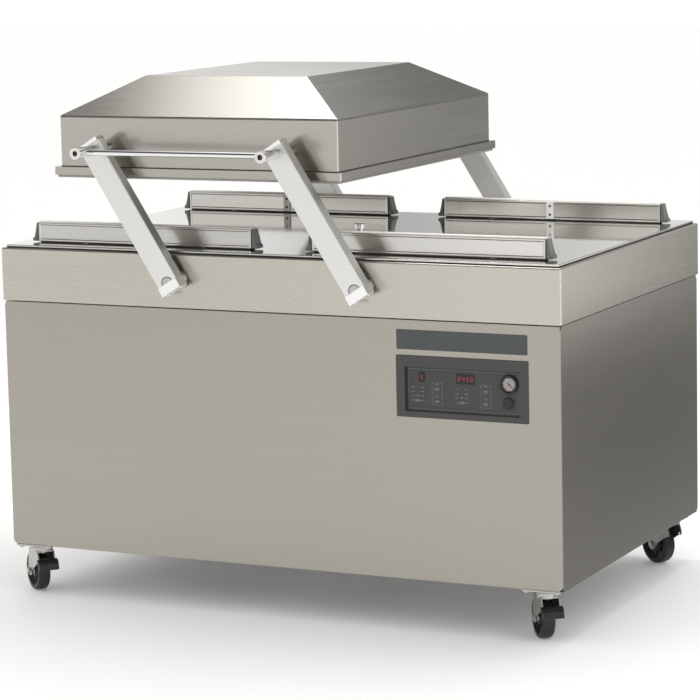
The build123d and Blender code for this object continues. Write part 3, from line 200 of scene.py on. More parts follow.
MATERIALS = {
    "cabinet": brushed("cabinet_brushed", (0.405, 0.384, 0.343), 0.33, strength=0.008, edge=1.8 * MM),
    "band": brushed("band_brushed", (0.545, 0.515, 0.460), 0.27, strength=0.0035, edge=1.8 * MM),
    "lid": brushed("lid_brushed", (0.475, 0.454, 0.411), 0.22, (3, 3, 500), strength=0.015),
    "deck": brushed("deck_polished", (0.70, 0.685, 0.64), 0.07, (3, 500, 3), strength=0.01, spread=0.02),
    "bar": brushed("bar_faces", (0.64, 0.625, 0.59), 0.17, (3, 300, 500), strength=0.02),
    "clamp": brushed("clamp_polished", (0.92, 0.92, 0.91), 0.25, (60, 60, 60), strength=0.01, spread=0.02),
    "seam": cast("seam_shadow", (0.042, 0.040, 0.037), 0.6, pitch=600, strength=0.05, edge=0),
    "marker": cast("bar_marker", (0.93, 0.93, 0.91), 0.4, pitch=900, strength=0.03),
    "arm": brushed("arm_anodised", (0.76, 0.76, 0.735), 0.36, (40, 40, 40), strength=0.02, spread=0.03),
    "shaft": brushed("shaft_ends", (0.50, 0.50, 0.49), 0.30, (200, 200, 200), strength=0.02),
    "turned": brushed("turned_steel", (0.78, 0.77, 0.75), 0.18, (90, 1200, 90), strength=0.03),
    "chrome": brushed("rod_chrome", (0.84, 0.84, 0.84), 0.06, (3, 300, 300), strength=0.004, spread=0.01),
    "frame": brushed("frame_mill", (0.40, 0.39, 0.37), 0.45, (8, 8, 300)),
    "zinc": cast("zinc_plate", (0.53, 0.52, 0.49), 0.34, 1.0, pitch=220, strength=0.08),
    "iron": cast("pump_paint", (0.10, 0.12, 0.15), 0.48, pitch=140, strength=0.35),
    "motor": cast("motor_paint", (0.16, 0.20, 0.26), 0.45, pitch=160, strength=0.3),
    "box": cast("box_powder_coat", (0.50, 0.51, 0.50), 0.5, pitch=900, strength=0.15),
    "core": cast("laminated_core", (0.18, 0.18, 0.18), 0.55, 0.6, pitch=300),
    "brass": cast("valve_brass", (0.62, 0.45, 0.20), 0.28, 1.0, pitch=200, strength=0.05),
    "spring": cast("spring_wire", (0.12, 0.12, 0.13), 0.35, 0.9, pitch=400, strength=0.1, edge=0),
    "rubber": cast("seal_rubber", (0.014, 0.014, 0.014), 0.62, pitch=500, strength=0.2),
    "lid_seal": cast("lid_seal_grey", (0.34, 0.33, 0.31), 0.55, pitch=500, strength=0.15),
    "silicone": cast("counter_silicone", (0.36, 0.10, 0.06), 0.5, pitch=700, strength=0.1),
    "tape": cast("seal_tape", (0.78, 0.76, 0.70), 0.35, pitch=1100, strength=0.1),
    "tread": cast("wheel_tread", (0.012, 0.012, 0.012), 0.48, pitch=500, strength=0.15),
    "hub": cast("wheel_hub", (0.025, 0.025, 0.026), 0.4, pitch=600, strength=0.1),
    "pedal": cast("pedal_coat", (0.008, 0.008, 0.008), 0.34, pitch=700, strength=0.08),
    # The seal bars' ends: a dark colour on the bars' own metal ends, painted shade and painted dark
    # reflection
    "cap": cast("bar_end_painted_shade", (0.15, 0.155, 0.15), 0.2, pitch=900, strength=0.06),
    "nylon": cast("gland_nylon", (0.03, 0.03, 0.03), 0.5, pitch=800, strength=0.1),
    "housing": cast("housing_grained", (0.050, 0.050, 0.047), 0.44, pitch=1500, strength=0.12),
    "panel": cast("panel_film", (0.042, 0.044, 0.041), 0.36, pitch=900, strength=0.04),
    "strip": cast("strip_cover", (0.056, 0.064, 0.064), 0.24, pitch=900, strength=0.03),
    "black": cast("black_gloss", (0.012, 0.012, 0.012), 0.22, pitch=900, strength=0.03),
    "window": cast("display_window", (0.006, 0.004, 0.004), 0.12, pitch=900, strength=0.02, edge=0),
    "key": cast("key_film", (0.085, 0.088, 0.085), 0.36, pitch=900, strength=0.05),
    "print": cast("pale_print", (0.22, 0.24, 0.225), 0.5, pitch=900, strength=0.02, edge=0),
    "dial": cast("dial_enamel", (0.62, 0.62, 0.60), 0.35, pitch=700, strength=0.02),
    "red": cast("needle_red", (0.50, 0.04, 0.03), 0.35, pitch=900, strength=0.02),
    "digit": glow("red_digit", (0.60, 0.03, 0.06), 0.75),
    "glass": clear("gauge_glass", (1.0, 1.0, 1.0)),
}

BAR_NODES = [f"seal_bar_{row}_{side}" for row in ROWS for side in SIDES]
NODE_FINISH = {
    "cabinet": ["front_panel", "rear_panel", "side_panels", "louvre_cover"],
    "band": ["chamber_band"],
    "lid": ["lid_shell"],
    "deck": ["deck_plate"],
    "bar": BAR_NODES + ["lid_counter_bars", "lift_cylinders"],
    "arm": ["arms_left", "arms_right"],
    "clamp": ["arm_clamps_left", "arm_clamps_right"],
    "shaft": ["pivot_shaft_left", "pivot_shaft_right"],
    "turned": ["lid_pins", "port_cap", "panel_screws", "shaft_bearings"],
    "chrome": ["handle_rod"],
    "frame": ["base_frame", "corner_posts", "deck_beams"],
    "zinc": ["caster_plates"] + [f"caster_fork_{c}" for c in CASTER_NAMES],
    "iron": ["vacuum_pump"],
    "motor": ["pump_motor"],
    "box": ["control_box"],
    "core": ["transformer"],
    "brass": ["vacuum_valve"],
    "spring": ["balance_springs"],
    "rubber": ["deck_gasket", "vacuum_hose"],
    "lid_seal": ["lid_gasket"],
    "tread": [f"caster_wheel_{c}" for c in CASTER_NAMES],
    "pedal": ["brake_pedal_front_left", "brake_pedal_front_right"],
    "nylon": ["cable_gland"],
    "housing": ["control_housing"],
    "panel": ["control_panel"],
    "strip": ["header_strip"],
    "black": ["gauge_case", "main_button"],
    "key": KEY_NAMES,
    "red": ["gauge_needle"],
}


def paint(thing, finish):
    thing.data.materials.clear()
    thing.data.materials.append(MATERIALS[finish])


for finish_name, nodes in NODE_FINISH.items():
    for node_name in nodes:
        paint(frame["nodes"][node_name], finish_name)


# ---- Mesh helpers ----
def piece(name, bm, finish, body, replaces=(), sharp=35):
    """Turns a bmesh into a finished piece that rides on a body."""
    bmesh.ops.remove_doubles(bm, verts=bm.verts, dist=MERGE)
    bmesh.ops.recalc_face_normals(bm, faces=bm.faces)
    mesh = bpy.data.meshes.new(name)
    bm.to_mesh(mesh)
    bm.free()
    for face in mesh.polygons:
        face.use_smooth = True
    mesh.set_sharp_from_angle(angle=radians(sharp))
    made = bpy.data.objects.new(name, mesh)
    bpy.context.collection.objects.link(made)
    paint(made, finish)
    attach(made, body)
    if replaces:
        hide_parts(*replaces)
    return made


def add_prism(bm, outline, low, high, place, bevel=0.0):
    """A closed outline in local x and z, run along local y from low to high, with its edges eased."""
    ring = [bm.verts.new(place @ Vector((x, low, z))) for x, z in outline]
    far = [bm.verts.new(place @ Vector((x, high, z))) for x, z in outline]
    count = len(outline)
    faces = [bm.faces.new(ring), bm.faces.new(far[::-1])]
    for i in range(count):
        faces.append(bm.faces.new((ring[i], far[i], far[(i + 1) % count], ring[(i + 1) % count])))
    if bevel:
        edges = list({e for f in faces for e in f.edges})
        bmesh.ops.bevel(bm, geom=edges, offset=bevel, segments=2, affect="EDGES", clamp_overlap=True)
    return faces


def add_block(bm, centre, size, bevel, place=Matrix()):
    x, y, z = (s / 2 for s in size)
    outline = [(centre[0] + sx * x, centre[2] + sz * z) for sx, sz in ((-1, -1), (1, -1), (1, 1), (-1, 1))]
    return add_prism(bm, outline, centre[1] - y, centre[1] + y, place, bevel)


def add_turned(bm, profile, place, steps=48):
    """A profile of (along, radius) points turned about the place's local y."""
    rings = []
    for along, radius in profile:
        if radius < MERGE:
            rings.append([bm.verts.new(place @ Vector((0, along, 0)))] * steps)
            continue
        turns = (2 * pi * i / steps for i in range(steps))
        rings.append([bm.verts.new(place @ Vector((radius * cos(a), along, radius * sin(a)))) for a in turns])
    for first, second in zip(rings, rings[1:]):
        for i in range(steps):
            corners = (first[i], first[(i + 1) % steps], second[(i + 1) % steps], second[i])
            face = list(dict.fromkeys(corners))
            if len(face) > 2:
                bm.faces.new(face)


def add_skin(bm, rings):
    """Faces between closed rings of points, each ring joined to the next."""
    count = len(rings[0])
    for first, second in zip(rings, rings[1:]):
        for i in range(count):
            bm.faces.new((first[i], first[(i + 1) % count], second[(i + 1) % count], second[i]))


def scaled(points):
    """Points given in millimetres, in metres."""
    return [(along * MM, radius * MM) for along, radius in points]


def at(x, y, z, turn=0.0, axis="Z"):
    return Matrix.Translation((x, y, z)) @ Matrix.Rotation(turn, 4, axis)


# ---- Seal bars ----
TAPE_W = 16 * MM
TAPE_H = 3.5 * MM
BAR_FLOAT = 3 * MM
BAR_FOOT = 17 * MM
BAR_FOOT_H = 8 * MM
CAP_TOP = 4.5 * MM
CAP_LOW = 10.5 * MM
BAR_ROD_R = 6 * MM
BAR_ROD_X = 165 * MM
FACE_BORDER = 4.5 * MM
FACE_STEP = 2 * MM
FACE_SUNK = 1 * MM
SQUARE_EDGE = 1.2  # radians: only the block's own edges turn by more than this
CLIP_W = 20 * MM
CLIP_T = 2.4 * MM
CLIP_OUT = 0.6 * MM  # from the bar's face to the clip's middle
CAP_SEAM = 1.2 * MM
MARK_SPREAD = 11 * MM
MARK_OUT = 2.2 * MM


def seal_bar(row, side):
    node = f"seal_bar_{row}_{side}"
    low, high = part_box(node)
    half = (high.x - low.x) / 2 - BAR_FOOT
    depth = high.y - low.y
    base = DECK_Z + BAR_FLOAT
    height = high.z - TAPE_H - base
    inner = 1 if row == "front" else -1
    place = at((low.x + high.x) / 2, (low.y + high.y) / 2, base)

    bm = bmesh.new()
    faces = add_block(bm, (0, 0, height / 2), (2 * half, depth, height), 0, place)
    bmesh.ops.recalc_face_normals(bm, faces=bm.faces)
    for face in faces[:2]:
        bmesh.ops.inset_region(bm, faces=[face], thickness=FACE_BORDER, depth=0, use_even_offset=True)
        bmesh.ops.inset_region(bm, faces=[face], thickness=FACE_STEP, depth=-FACE_SUNK, use_even_offset=True)
    rim = [e for e in bm.edges if len(e.link_faces) == 2 and e.calc_face_angle() > SQUARE_EDGE]
    bmesh.ops.bevel(bm, geom=rim, offset=1.0 * MM, segments=2, affect="EDGES", clamp_overlap=True)
    piece(f"bar_body_{row}_{side}", bm, "bar", node, replaces=(node,), sharp=14)

    # The ends, in the bar's own metal, get a dark colour: painted shade and painted dark reflection on the
    # end faces turned from the light
    bm = bmesh.new()
    for end in ENDS:
        outline = [
            (end * (half + CAP_SEAM), 0),
            (end * (half + BAR_FOOT), 0),
            (end * (half + BAR_FOOT), BAR_FOOT_H),
            (end * (half + CAP_LOW), BAR_FOOT_H + 1.5 * MM),
            (end * (half + CAP_TOP), height),
            (end * (half + CAP_SEAM), height),
        ]
        add_prism(bm, outline, -depth / 2, depth / 2, place, bevel=1.2 * MM)
    piece(f"bar_shaded_ends_{row}_{side}", bm, "cap", node)

    # Dark seams at the bar's two ends, and a dark block under the bar that paints the shadow in the gap
    # beneath it
    bm = bmesh.new()
    seam = (CAP_SEAM + MM, depth - MM, height - 2 * MM)
    for end in ENDS:
        add_block(bm, (end * (half + CAP_SEAM / 2), 0, seam[2] / 2), seam, 0, place)
    gap_shade_h = BAR_FLOAT - 0.4 * MM
    add_block(bm, (0, 0, -gap_shade_h / 2), (2 * half - 8 * MM, depth - 4 * MM, gap_shade_h), 0.3 * MM, place)
    piece(f"bar_seams_{row}_{side}", bm, "seam", node)

    bm = bmesh.new()
    arc = [radians(a) for a in range(0, 181, 20)]
    crown = [(TAPE_W / 2 * cos(a), height + TAPE_H * sin(a) ** 0.5) for a in arc]
    foot = [(-TAPE_W / 2, height - 0.2 * MM), (TAPE_W / 2, height - 0.2 * MM)]
    add_prism(bm, foot + crown, -half, half, place @ Matrix.Rotation(pi / 2, 4, "Z"))
    piece(f"bar_tape_{row}_{side}", bm, "tape", node, sharp=50)

    bm = bmesh.new()
    upright = Matrix.Rotation(pi / 2, 4, "X")
    rod_end = low.z - base
    profile = [(rod_end, 0), (rod_end, BAR_ROD_R - MM), (rod_end + MM, BAR_ROD_R), (0, BAR_ROD_R), (0, 0)]
    for end in ENDS:
        add_turned(bm, profile, place @ Matrix.Translation((end * BAR_ROD_X, 0, 0)) @ upright)
    piece(f"bar_rods_{row}_{side}", bm, "chrome", node)

    bm = bmesh.new()
    clip_y = inner * (depth / 2 + CLIP_OUT)
    add_block(bm, (0, clip_y, height / 2), (CLIP_W, CLIP_T, height - 2 * MM), 0.6 * MM, place)
    piece(f"bar_marker_{row}_{side}", bm, "marker", node)

    bm = bmesh.new()
    out = inner * MARK_OUT
    profile = [(0, 0), (0, 3.4), (out * 0.7, 3.2), (out, 2.2), (out * 0.8, 1.6), (out * 0.8, 0)]
    for end in ENDS:
        mark = place @ Matrix.Translation((0, clip_y, height / 2 + end * MARK_SPREAD))
        add_turned(bm, [(along, radius * MM) for along, radius in profile], mark, steps=20)
    piece(f"bar_marks_{row}_{side}", bm, "seam", node)


for side in SIDES:
    for row in ROWS:
        seal_bar(row, side)


# ---- Lid: silicone strips that press the pouches on the bars ----
STRIP_W = 14 * MM
STRIP_CROWN_W = 8 * MM
STRIP_SIDE_H = 2 * MM
STRIP_H = 4.5 * MM
STRIP_SHORT = 4 * MM  # how far each end stops before the end of its bar


def counter_strips():
    low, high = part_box("lid_counter_bars")
    bar_low, bar_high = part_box("seal_bar_front_left")
    reach = CENTRE_Y - (bar_low.y + bar_high.y) / 2
    half = (high.x - low.x) / 2 - STRIP_SHORT
    right = [(STRIP_CROWN_W / 2, -STRIP_H), (STRIP_W / 2, -STRIP_SIDE_H), (STRIP_W / 2, 0)]
    left = [(-x, z) for x, z in right[::-1]]
    bm = bmesh.new()
    for end in ENDS:
        place = at((low.x + high.x) / 2, CENTRE_Y + end * reach, low.z) @ Matrix.Rotation(pi / 2, 4, "Z")
        add_prism(bm, left + right, -half, half, place, bevel=0.6 * MM)
    piece("counter_strips", bm, "silicone", "lid")


counter_strips()


# ---- Lid: dark strips, painted shade under the eaves and painted shadow where the walls meet the rim ----
LID_RIM = 12.5 * MM  # how far the rim stands out from the walls
RIM_TOP = 19.7 * MM
EAVES = 143 * MM
LINE_CORNER = 5 * MM
LINE_DEPTH = MM
LINES = (
    # name, height over the lid's lowest point, width, how far it stands out
    ("lid_eaves_painted_shade", EAVES - 3.2 * MM, 1.5 * MM, 0.15 * MM),
    ("lid_rim_painted_shadow", RIM_TOP + 0.8 * MM, 2.0 * MM, 1.0 * MM),
)


def lid_shade_lines():
    low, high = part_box("lid_shell")
    centre = (low + high) / 2
    half_x = centre.x - low.x - LID_RIM
    half_y = centre.y - low.y - LID_RIM
    for name, above, tall, proud in LINES:
        z = low.z + above
        bm = bmesh.new()
        rings = []
        for out, up in ((-LINE_DEPTH, -1), (proud, -1), (proud, 1), (-LINE_DEPTH, 1)):
            ring = []
            for quarter in range(4):
                for i in range(7):
                    turn = pi / 2 * (quarter + i / 6)
                    sx = 1 if quarter in (0, 3) else -1
                    sy = 1 if quarter in (0, 1) else -1
                    x = centre.x + sx * (half_x - LINE_CORNER) + (LINE_CORNER + out) * cos(turn)
                    y = centre.y + sy * (half_y - LINE_CORNER) + (LINE_CORNER + out) * sin(turn)
                    ring.append(bm.verts.new((x, y, z + up * tall / 2)))
            rings.append(ring)
        add_skin(bm, rings + rings[:1])
        piece(name, bm, "seam", "lid")


lid_shade_lines()


# ---- Handle: dark sockets in the two ring faces, painted shade inside them ----
SOCKET_IN = 5 * MM
SOCKET = ((3, 0), (3, 6.4), (0.4, 6.4), (0, 6), (0, 3), (1, 2.6), (1, 0))  # along, radius in mm


def handle_socket_shade():
    low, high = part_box("lid_pins")
    rod_low, rod_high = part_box("handle_rod")
    z = (rod_low.z + rod_high.z) / 2
    bm = bmesh.new()
    for x in (rod_low.x, rod_high.x):
        add_turned(bm, scaled(SOCKET), at(x, low.y + SOCKET_IN, z), steps=32)
    piece("handle_socket_shade", bm, "seam", "lid")


handle_socket_shade()


# ---- Arms: clamp screws below each shaft, and the joints round it ----
ARM_T = 33 * MM
ARM_TILT = radians(32.2)
CLAMP_END = 24 * MM
CLAMP_SEAM_W = 56 * MM
SCREW_SPREAD = 20 * MM
SCREW_R = 4.2 * MM
SCREW_H = 2.6 * MM
SHAFT_R = 15 * MM
RING_STEP = 12  # degrees of one piece of the ring round a shaft
SCREW_HEAD = [
    (-0.5 * MM, 0),
    (-0.5 * MM, SCREW_R),
    (SCREW_H - 0.6 * MM, SCREW_R),
    (SCREW_H, SCREW_R - 0.6 * MM),
    (SCREW_H, SCREW_R * 0.55),
    (SCREW_H * 0.3, SCREW_R * 0.5),
    (SCREW_H * 0.3, 0),
]


def arm_clamps(side):
    low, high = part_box(f"pivot_shaft_{side}")
    pivot = (low + high) / 2
    arms = [at(pivot.x, y, pivot.z, -ARM_TILT, "Y") for y in (low.y + ARM_T / 2, high.y - ARM_T / 2)]
    bm = bmesh.new()
    for arm in arms:
        for end in ENDS:
            foot = arm @ Matrix.Translation((end * SCREW_SPREAD, 0, -CLAMP_END))
            add_turned(bm, SCREW_HEAD, foot @ Matrix.Rotation(-pi / 2, 4, "X"), steps=24)
    piece(f"clamp_screws_{side}", bm, "turned", f"{side}_arms")

    bm = bmesh.new()
    for arm in arms:
        for end in ENDS:
            face = arm @ Matrix.Translation((0, end * (ARM_T / 2 + 0.1 * MM), 0))
            for angle in range(0, 180, RING_STEP):
                turn = radians(angle + RING_STEP / 2)
                spot = face @ Matrix.Rotation(-turn, 4, "Y") @ Matrix.Translation((SHAFT_R, 0, 0))
                add_block(bm, (0, 0, 0), (0.9 * MM, 0.3 * MM, SHAFT_R * 0.215), 0, spot)
            add_block(bm, (0, 0, -0.3 * MM), (CLAMP_SEAM_W, 0.3 * MM, 1.3 * MM), 0, face)
    piece(f"clamp_seams_{side}", bm, "seam", f"{side}_arms")


for side in SIDES:
    arm_clamps(side)


# ---- Casters ----
SPOKES = 8
SPOKE_MIDDLE = 25 * MM
SPOKE = (4 * MM, 17 * MM, 17 * MM)


def mirrored(half):
    """A profile of (along, radius) in mm, given for its negative end, then that end's mirror image."""
    return scaled(half + [(-along, radius) for along, radius in half[::-1]])


TREAD = mirrored([(-11, 37), (-15, 38.5), (-16, 42), (-15.4, 46.5), (-12.5, 49.3), (-7, 50)])
HUB = mirrored([(-11, 37.2), (-11, 34), (-6, 32), (-4, 20), (-12, 17), (-14, 11)])
RACE = mirrored([(-18, 5.2), (-18, 9), (-16.5, 10.5), (-13.5, 11.2)])


def joint_frame(name):
    """A place at a joint, with its local y along the joint's axis."""
    found = joint(name)
    turn = Vector((0, 1, 0)).rotation_difference(Vector(found["axis"])).to_matrix().to_4x4()
    return Matrix.Translation(found["pos_m"]) @ turn


def caster_wheel(name):
    place = joint_frame(f"roll_{name}")
    body = f"wheel_{name}"
    bm = bmesh.new()
    add_turned(bm, TREAD + TREAD[:1], place, steps=72)
    piece(f"wheel_tread_{name}", bm, "tread", body, replaces=(f"caster_wheel_{name}",))

    bm = bmesh.new()
    add_turned(bm, HUB, place, steps=72)
    for i in range(SPOKES):
        spoke = place @ Matrix.Rotation(i * 2 * pi / SPOKES, 4, "Y")
        add_block(bm, (0, 0, SPOKE_MIDDLE), SPOKE, 0.8 * MM, spoke)
    piece(f"wheel_hub_{name}", bm, "hub", body)

    bm = bmesh.new()
    add_turned(bm, RACE + RACE[:1], place, steps=40)
    piece(f"wheel_race_{name}", bm, "zinc", body)


for name in CASTER_NAMES:
    caster_wheel(name)


RIDGES = 4
RIDGE = (1.8 * MM, 46 * MM, 1.5 * MM)
HOOD_FACE = ((-23.9, -5.0), (-25.8, -16.5))  # ends of the hood's outer face, x and z in mm from the pivot


def pedal_ridges(name):
    """Grip ridges across the hood of a brake pedal."""
    (x0, z0), (x1, z1) = HOOD_FACE
    bm = bmesh.new()
    for i in range(RIDGES):
        share = (i + 0.5) / RIDGES
        spot = ((x0 + (x1 - x0) * share) * MM, 0, (z0 + (z1 - z0) * share) * MM)
        add_block(bm, spot, RIDGE, 0.5 * MM, joint_frame(f"brake_{name}"))
    piece(f"pedal_ridges_{name}", bm, "pedal", f"pedal_{name}")


for side in SIDES:
    pedal_ridges(f"front_{side}")


# ---- Gauge: profiles of (along, radius) in mm ----
DIAL_BACK = 2 * MM
BEZEL_OUT = 0.4 * MM
DIAL = scaled([(0, 1.3), (-0.5, 1.3), (-0.5, 17.2), (0, 17.8)])
BEZEL_INSIDE = [(-0.6, 14.2), (-3.6, 15.2), (-7.2, 18.6), (-7.4, 20.4)]
BEZEL_OUTSIDE = [(-6.6, 21.4), (-5.0, 21.6), (-0.6, 17.9), (-0.6, 14.2)]
BEZEL = scaled(BEZEL_INSIDE + BEZEL_OUTSIDE)
GLASS = scaled([(-4.4, 0), (-4.4, 17.0), (-3.8, 17.8), (-3.4, 17.8), (-3.4, 0)])
TICKS = 11
TICK_SWEEP = 270  # degrees
TICK_R = 13.4 * MM
LONG_TICK = (1.1 * MM, 0.3 * MM, 3.6 * MM)
SHORT_TICK = (0.6 * MM, 0.3 * MM, 2.2 * MM)


def gauge_round(name, profile, finish, place):
    bm = bmesh.new()
    add_turned(bm, profile, place)
    piece(f"gauge_{name}", bm, finish, "cabinet")


def gauge():
    centre = Vector(joint("gauge_turn")["pos_m"])
    disc = at(centre.x, PANEL_Y - DIAL_BACK, centre.z)
    gauge_round("dial", DIAL, "dial", disc)
    gauge_round("bezel", BEZEL, "black", at(centre.x, PANEL_Y - BEZEL_OUT, centre.z))
    bm = bmesh.new()
    for i in range(TICKS):
        size = LONG_TICK if i % 5 == 0 else SHORT_TICK
        turn = radians(TICK_SWEEP * (i / (TICKS - 1) - 0.5))
        tick = disc @ Matrix.Rotation(turn, 4, "Y")
        add_block(bm, (0, -0.6 * MM, TICK_R - size[2] / 2), size, 0, tick)
    piece("gauge_ticks", bm, "window", "cabinet")
    gauge_round("glass", GLASS, "glass", disc)


gauge()


# ---- Control panel: frame line, displays and pale symbols ----
SEGMENTS = {
    # across and up from the digit's middle, in halves of its height
    "a": (0, 1),
    "b": (0.5, 0.5),
    "c": (0.5, -0.5),
    "d": (0, -1),
    "e": (-0.5, -0.5),
    "f": (-0.5, 0.5),
    "g": (0, 0),
}
FLAT_SEGMENTS = "adg"
SHAPES = {"0": "abcdef", "4": "bcfg", "5": "acdfg"}
DISPLAYS = (
    # x, z, width, height, digits, height of a digit
    (0.389, 0.606, 16 * MM, 24 * MM, "5", 8.06 * MM),
    (0.4985, 0.6065, 46 * MM, 24 * MM, "0450", 8.68 * MM),
)
LINE_INSET = 6 * MM
LINE_W = 0.7 * MM
BRACKETS_X = (0.427, 0.549)
BRACKETS_Z = 0.5685
BRACKET = (25 * MM, 52 * MM)
LISTS_X = (0.378, 0.489)
LISTS_Z = 0.551
LIST_ROWS = 4
LIST_PITCH = 10.5 * MM
LIST_SPREAD = 12 * MM
KEY_LINES = ((10.4 * MM, 9 * MM), (13.2 * MM, 5 * MM))  # height over the key's middle, width
PRINT_W = 1.1 * MM
PRINT_T = 0.3 * MM


def add_digit(bm, shape, x, z, height):
    """A seven-segment digit on the panel's face."""
    tall = height / 2
    thick = height * 0.13
    for name in SHAPES[shape]:
        across, up = SEGMENTS[name]
        size = (tall * 0.8, PRINT_T, thick) if name in FLAT_SEGMENTS else (thick, PRINT_T, tall * 0.8)
        lean = up * tall * 0.12
        spot = (x + across * tall + lean, PANEL_Y - 0.9 * MM, z + up * tall)
        add_block(bm, spot, size, thick * 0.2)


def add_flat(bm, x, z, width, height, bevel=0.15 * MM, proud=0.35 * MM):
    add_block(bm, (x, PANEL_Y - proud / 2, z), (width, proud, height), bevel)


def add_outline(bm, x, z, width, height, bevel=0.15 * MM):
    """Four thin lines on the panel's face, round a middle."""
    for end in ENDS:
        add_flat(bm, x, z + end * height / 2, width, LINE_W, bevel)
        add_flat(bm, x + end * width / 2, z, LINE_W, height, bevel)


def panel_details():
    bm = bmesh.new()
    centre = (panel_low + panel_high) / 2
    size = panel_high - panel_low
    add_outline(bm, centre.x, centre.z, size.x - 2 * LINE_INSET, size.z - 2 * LINE_INSET, 0.1 * MM)
    piece("panel_line", bm, "print", "cabinet")

    windows = bmesh.new()
    digits = bmesh.new()
    for x, z, wide, tall, shapes, height in DISPLAYS:
        add_flat(windows, x, z, wide, tall, 0.25 * MM, 0.7 * MM)
        pitch = wide * 0.9 / len(shapes)
        for i, shape in enumerate(shapes):
            add_digit(digits, shape, x + (i - (len(shapes) - 1) / 2) * pitch, z, height)
    piece("display_windows", windows, "window", "cabinet")
    piece("display_digits", digits, "digit", "cabinet")

    bm = bmesh.new()
    for name in KEY_NAMES:
        key = middle(name)
        for above, width in KEY_LINES:
            add_flat(bm, key.x, key.z + above, width, PRINT_W)
    for x in BRACKETS_X:
        add_outline(bm, x, BRACKETS_Z, *BRACKET)
    for x in LISTS_X:
        for row in range(LIST_ROWS):
            for end in ENDS:
                add_flat(bm, x + end * LIST_SPREAD, LISTS_Z + row * LIST_PITCH, 9 * MM, 1.2 * MM)
    piece("panel_symbols", bm, "print", "cabinet")

    for name in KEY_NAMES:
        key = middle(name)
        spot = (key.x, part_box(name)[0].y, key.z)
        bm = bmesh.new()
        add_block(bm, spot, (7 * MM, PRINT_T, PRINT_W), 0.1 * MM)
        if name != "key_down":
            add_block(bm, spot, (PRINT_W, PRINT_T, 5 * MM), 0.1 * MM)
        piece(f"{name}_mark", bm, "print", name)


panel_details()


# ---- Back: pressed hoods over the louvres, and the screws' cross recesses, shown as painted shade ----
SLOT_PITCH = 26 * MM
SLOT_COLUMN = 280 * MM
SLOT_L = 250 * MM
SLOT_ROWS = 9
HOOD_OUT = 7 * MM
HOOD_TOP = 8 * MM
HOOD_DROP = 14 * MM
STATIONS = (-1, -0.97, -0.9, -0.5, 0, 0.5, 0.9, 0.97, 1)  # along a hood, in halves of its length


def louvre_hoods():
    low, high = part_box("louvre_cover")
    cover = (low + high) / 2
    arc = [radians(a) for a in range(0, 91, 15)]
    profile = [(HOOD_OUT * sin(a), HOOD_TOP - HOOD_DROP * (1 - cos(a))) for a in arc]
    inner = [(y - 1.2 * MM * sin(a), z - 1.0 * MM * cos(a)) for (y, z), a in zip(profile, arc)]
    bm = bmesh.new()
    for column in (-0.5, 0.5):
        for row in range(SLOT_ROWS):
            x = cover.x + column * SLOT_COLUMN
            z = cover.z + (row - (SLOT_ROWS - 1) / 2) * SLOT_PITCH
            stations = []
            for share in STATIONS:
                swell = max(0.02, 1 - abs(share) ** 10)
                along = x + share * SLOT_L / 2
                ring = [(along, high.y + y * swell, z + dz) for y, dz in profile + inner[::-1]]
                stations.append([bm.verts.new(p) for p in ring])
            add_skin(bm, stations)
            bm.faces.new(stations[0])
            bm.faces.new(stations[-1][::-1])
    piece("louvre_hoods", bm, "cabinet", "cabinet", sharp=50)


louvre_hoods()


GRID = 0.02  # metres: a screw's points fall in one square of this size, or in squares side by side
SAME_SCREW = 0.012  # metres: middles closer than this belong to one screw
CROSS = ((5.4 * MM, 0.5 * MM, 1.0 * MM), (1.0 * MM, 0.5 * MM, 5.4 * MM))


def screw_recess_shade():
    """A cross recess on each screw head at the back, shown as a dark cross: painted shade in the recess."""
    mesh = frame["nodes"]["panel_screws"].data
    spots = {}
    for vertex in mesh.vertices:
        key = (round(vertex.co.x / GRID), round(vertex.co.z / GRID))
        spots.setdefault(key, []).append(vertex.co)
    groups = []
    for points in spots.values():
        centre = sum(points, Vector()) / len(points)
        near = next((g for g in groups if (g[0] - centre).length < SAME_SCREW), None)
        if near:
            near[1].extend(points)
        else:
            groups.append((centre, list(points)))
    bm = bmesh.new()
    for _, points in groups:
        low = Vector(min(p[i] for p in points) for i in range(3))
        high = Vector(max(p[i] for p in points) for i in range(3))
        centre = (low + high) / 2
        for size in CROSS:
            add_block(bm, (centre.x, high.y, centre.z), size, 0.1 * MM)
    piece("screw_recess_shade", bm, "window", "cabinet")


screw_recess_shade()


RIBS = 16
RIB = (2.0 * MM, 9 * MM, 1.6 * MM)
RIB_R = 14 * MM
NUT_BACK = 11 * MM  # from the gland's far end to the middle of its nut


def gland_ribs():
    low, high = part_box("cable_gland")
    centre = (low + high) / 2
    bm = bmesh.new()
    for i in range(RIBS):
        rib = at(centre.x, high.y - NUT_BACK, centre.z) @ Matrix.Rotation(i * 2 * pi / RIBS, 4, "Y")
        add_block(bm, (0, 0, RIB_R), RIB, 0.4 * MM, rib)
    piece("gland_ribs", bm, "nylon", "cabinet")


gland_ribs()


# ---- Floor, light and camera ----
SKY_FALL = (("From Min", 0.16), ("From Max", 0.60), ("To Min", 1.0), ("To Max", 0.30))
ROOM_STRENGTH = 1.08
ROOM_COLOR = (1.0, 0.995, 0.985, 1)
CAMERA_PLACE = (3.0767, -6.3444, 1.6856)
CAMERA_YAW = radians(25.866)
CAMERA_PITCH = radians(7.858)
CAMERA_ROLL = radians(-1.245)
CAMERA_LENS = 146.56
CAMERA_SHIFT = -0.0714


def stage_floor():
    bm = bmesh.new()
    bmesh.ops.create_grid(bm, x_segments=1, y_segments=1, size=30)
    mesh = bpy.data.meshes.new("floor")
    bm.to_mesh(mesh)
    bm.free()
    floor = bpy.data.objects.new("floor", mesh)
    bpy.context.collection.objects.link(floor)
    finish = Finish("floor_white", (0.88, 0.88, 0.875), 0.6)
    finish.set(Specular_IOR_Level=0.2, Emission_Color=(1, 1, 1, 1), Emission_Strength=0.10)
    mesh.materials.append(finish.material)


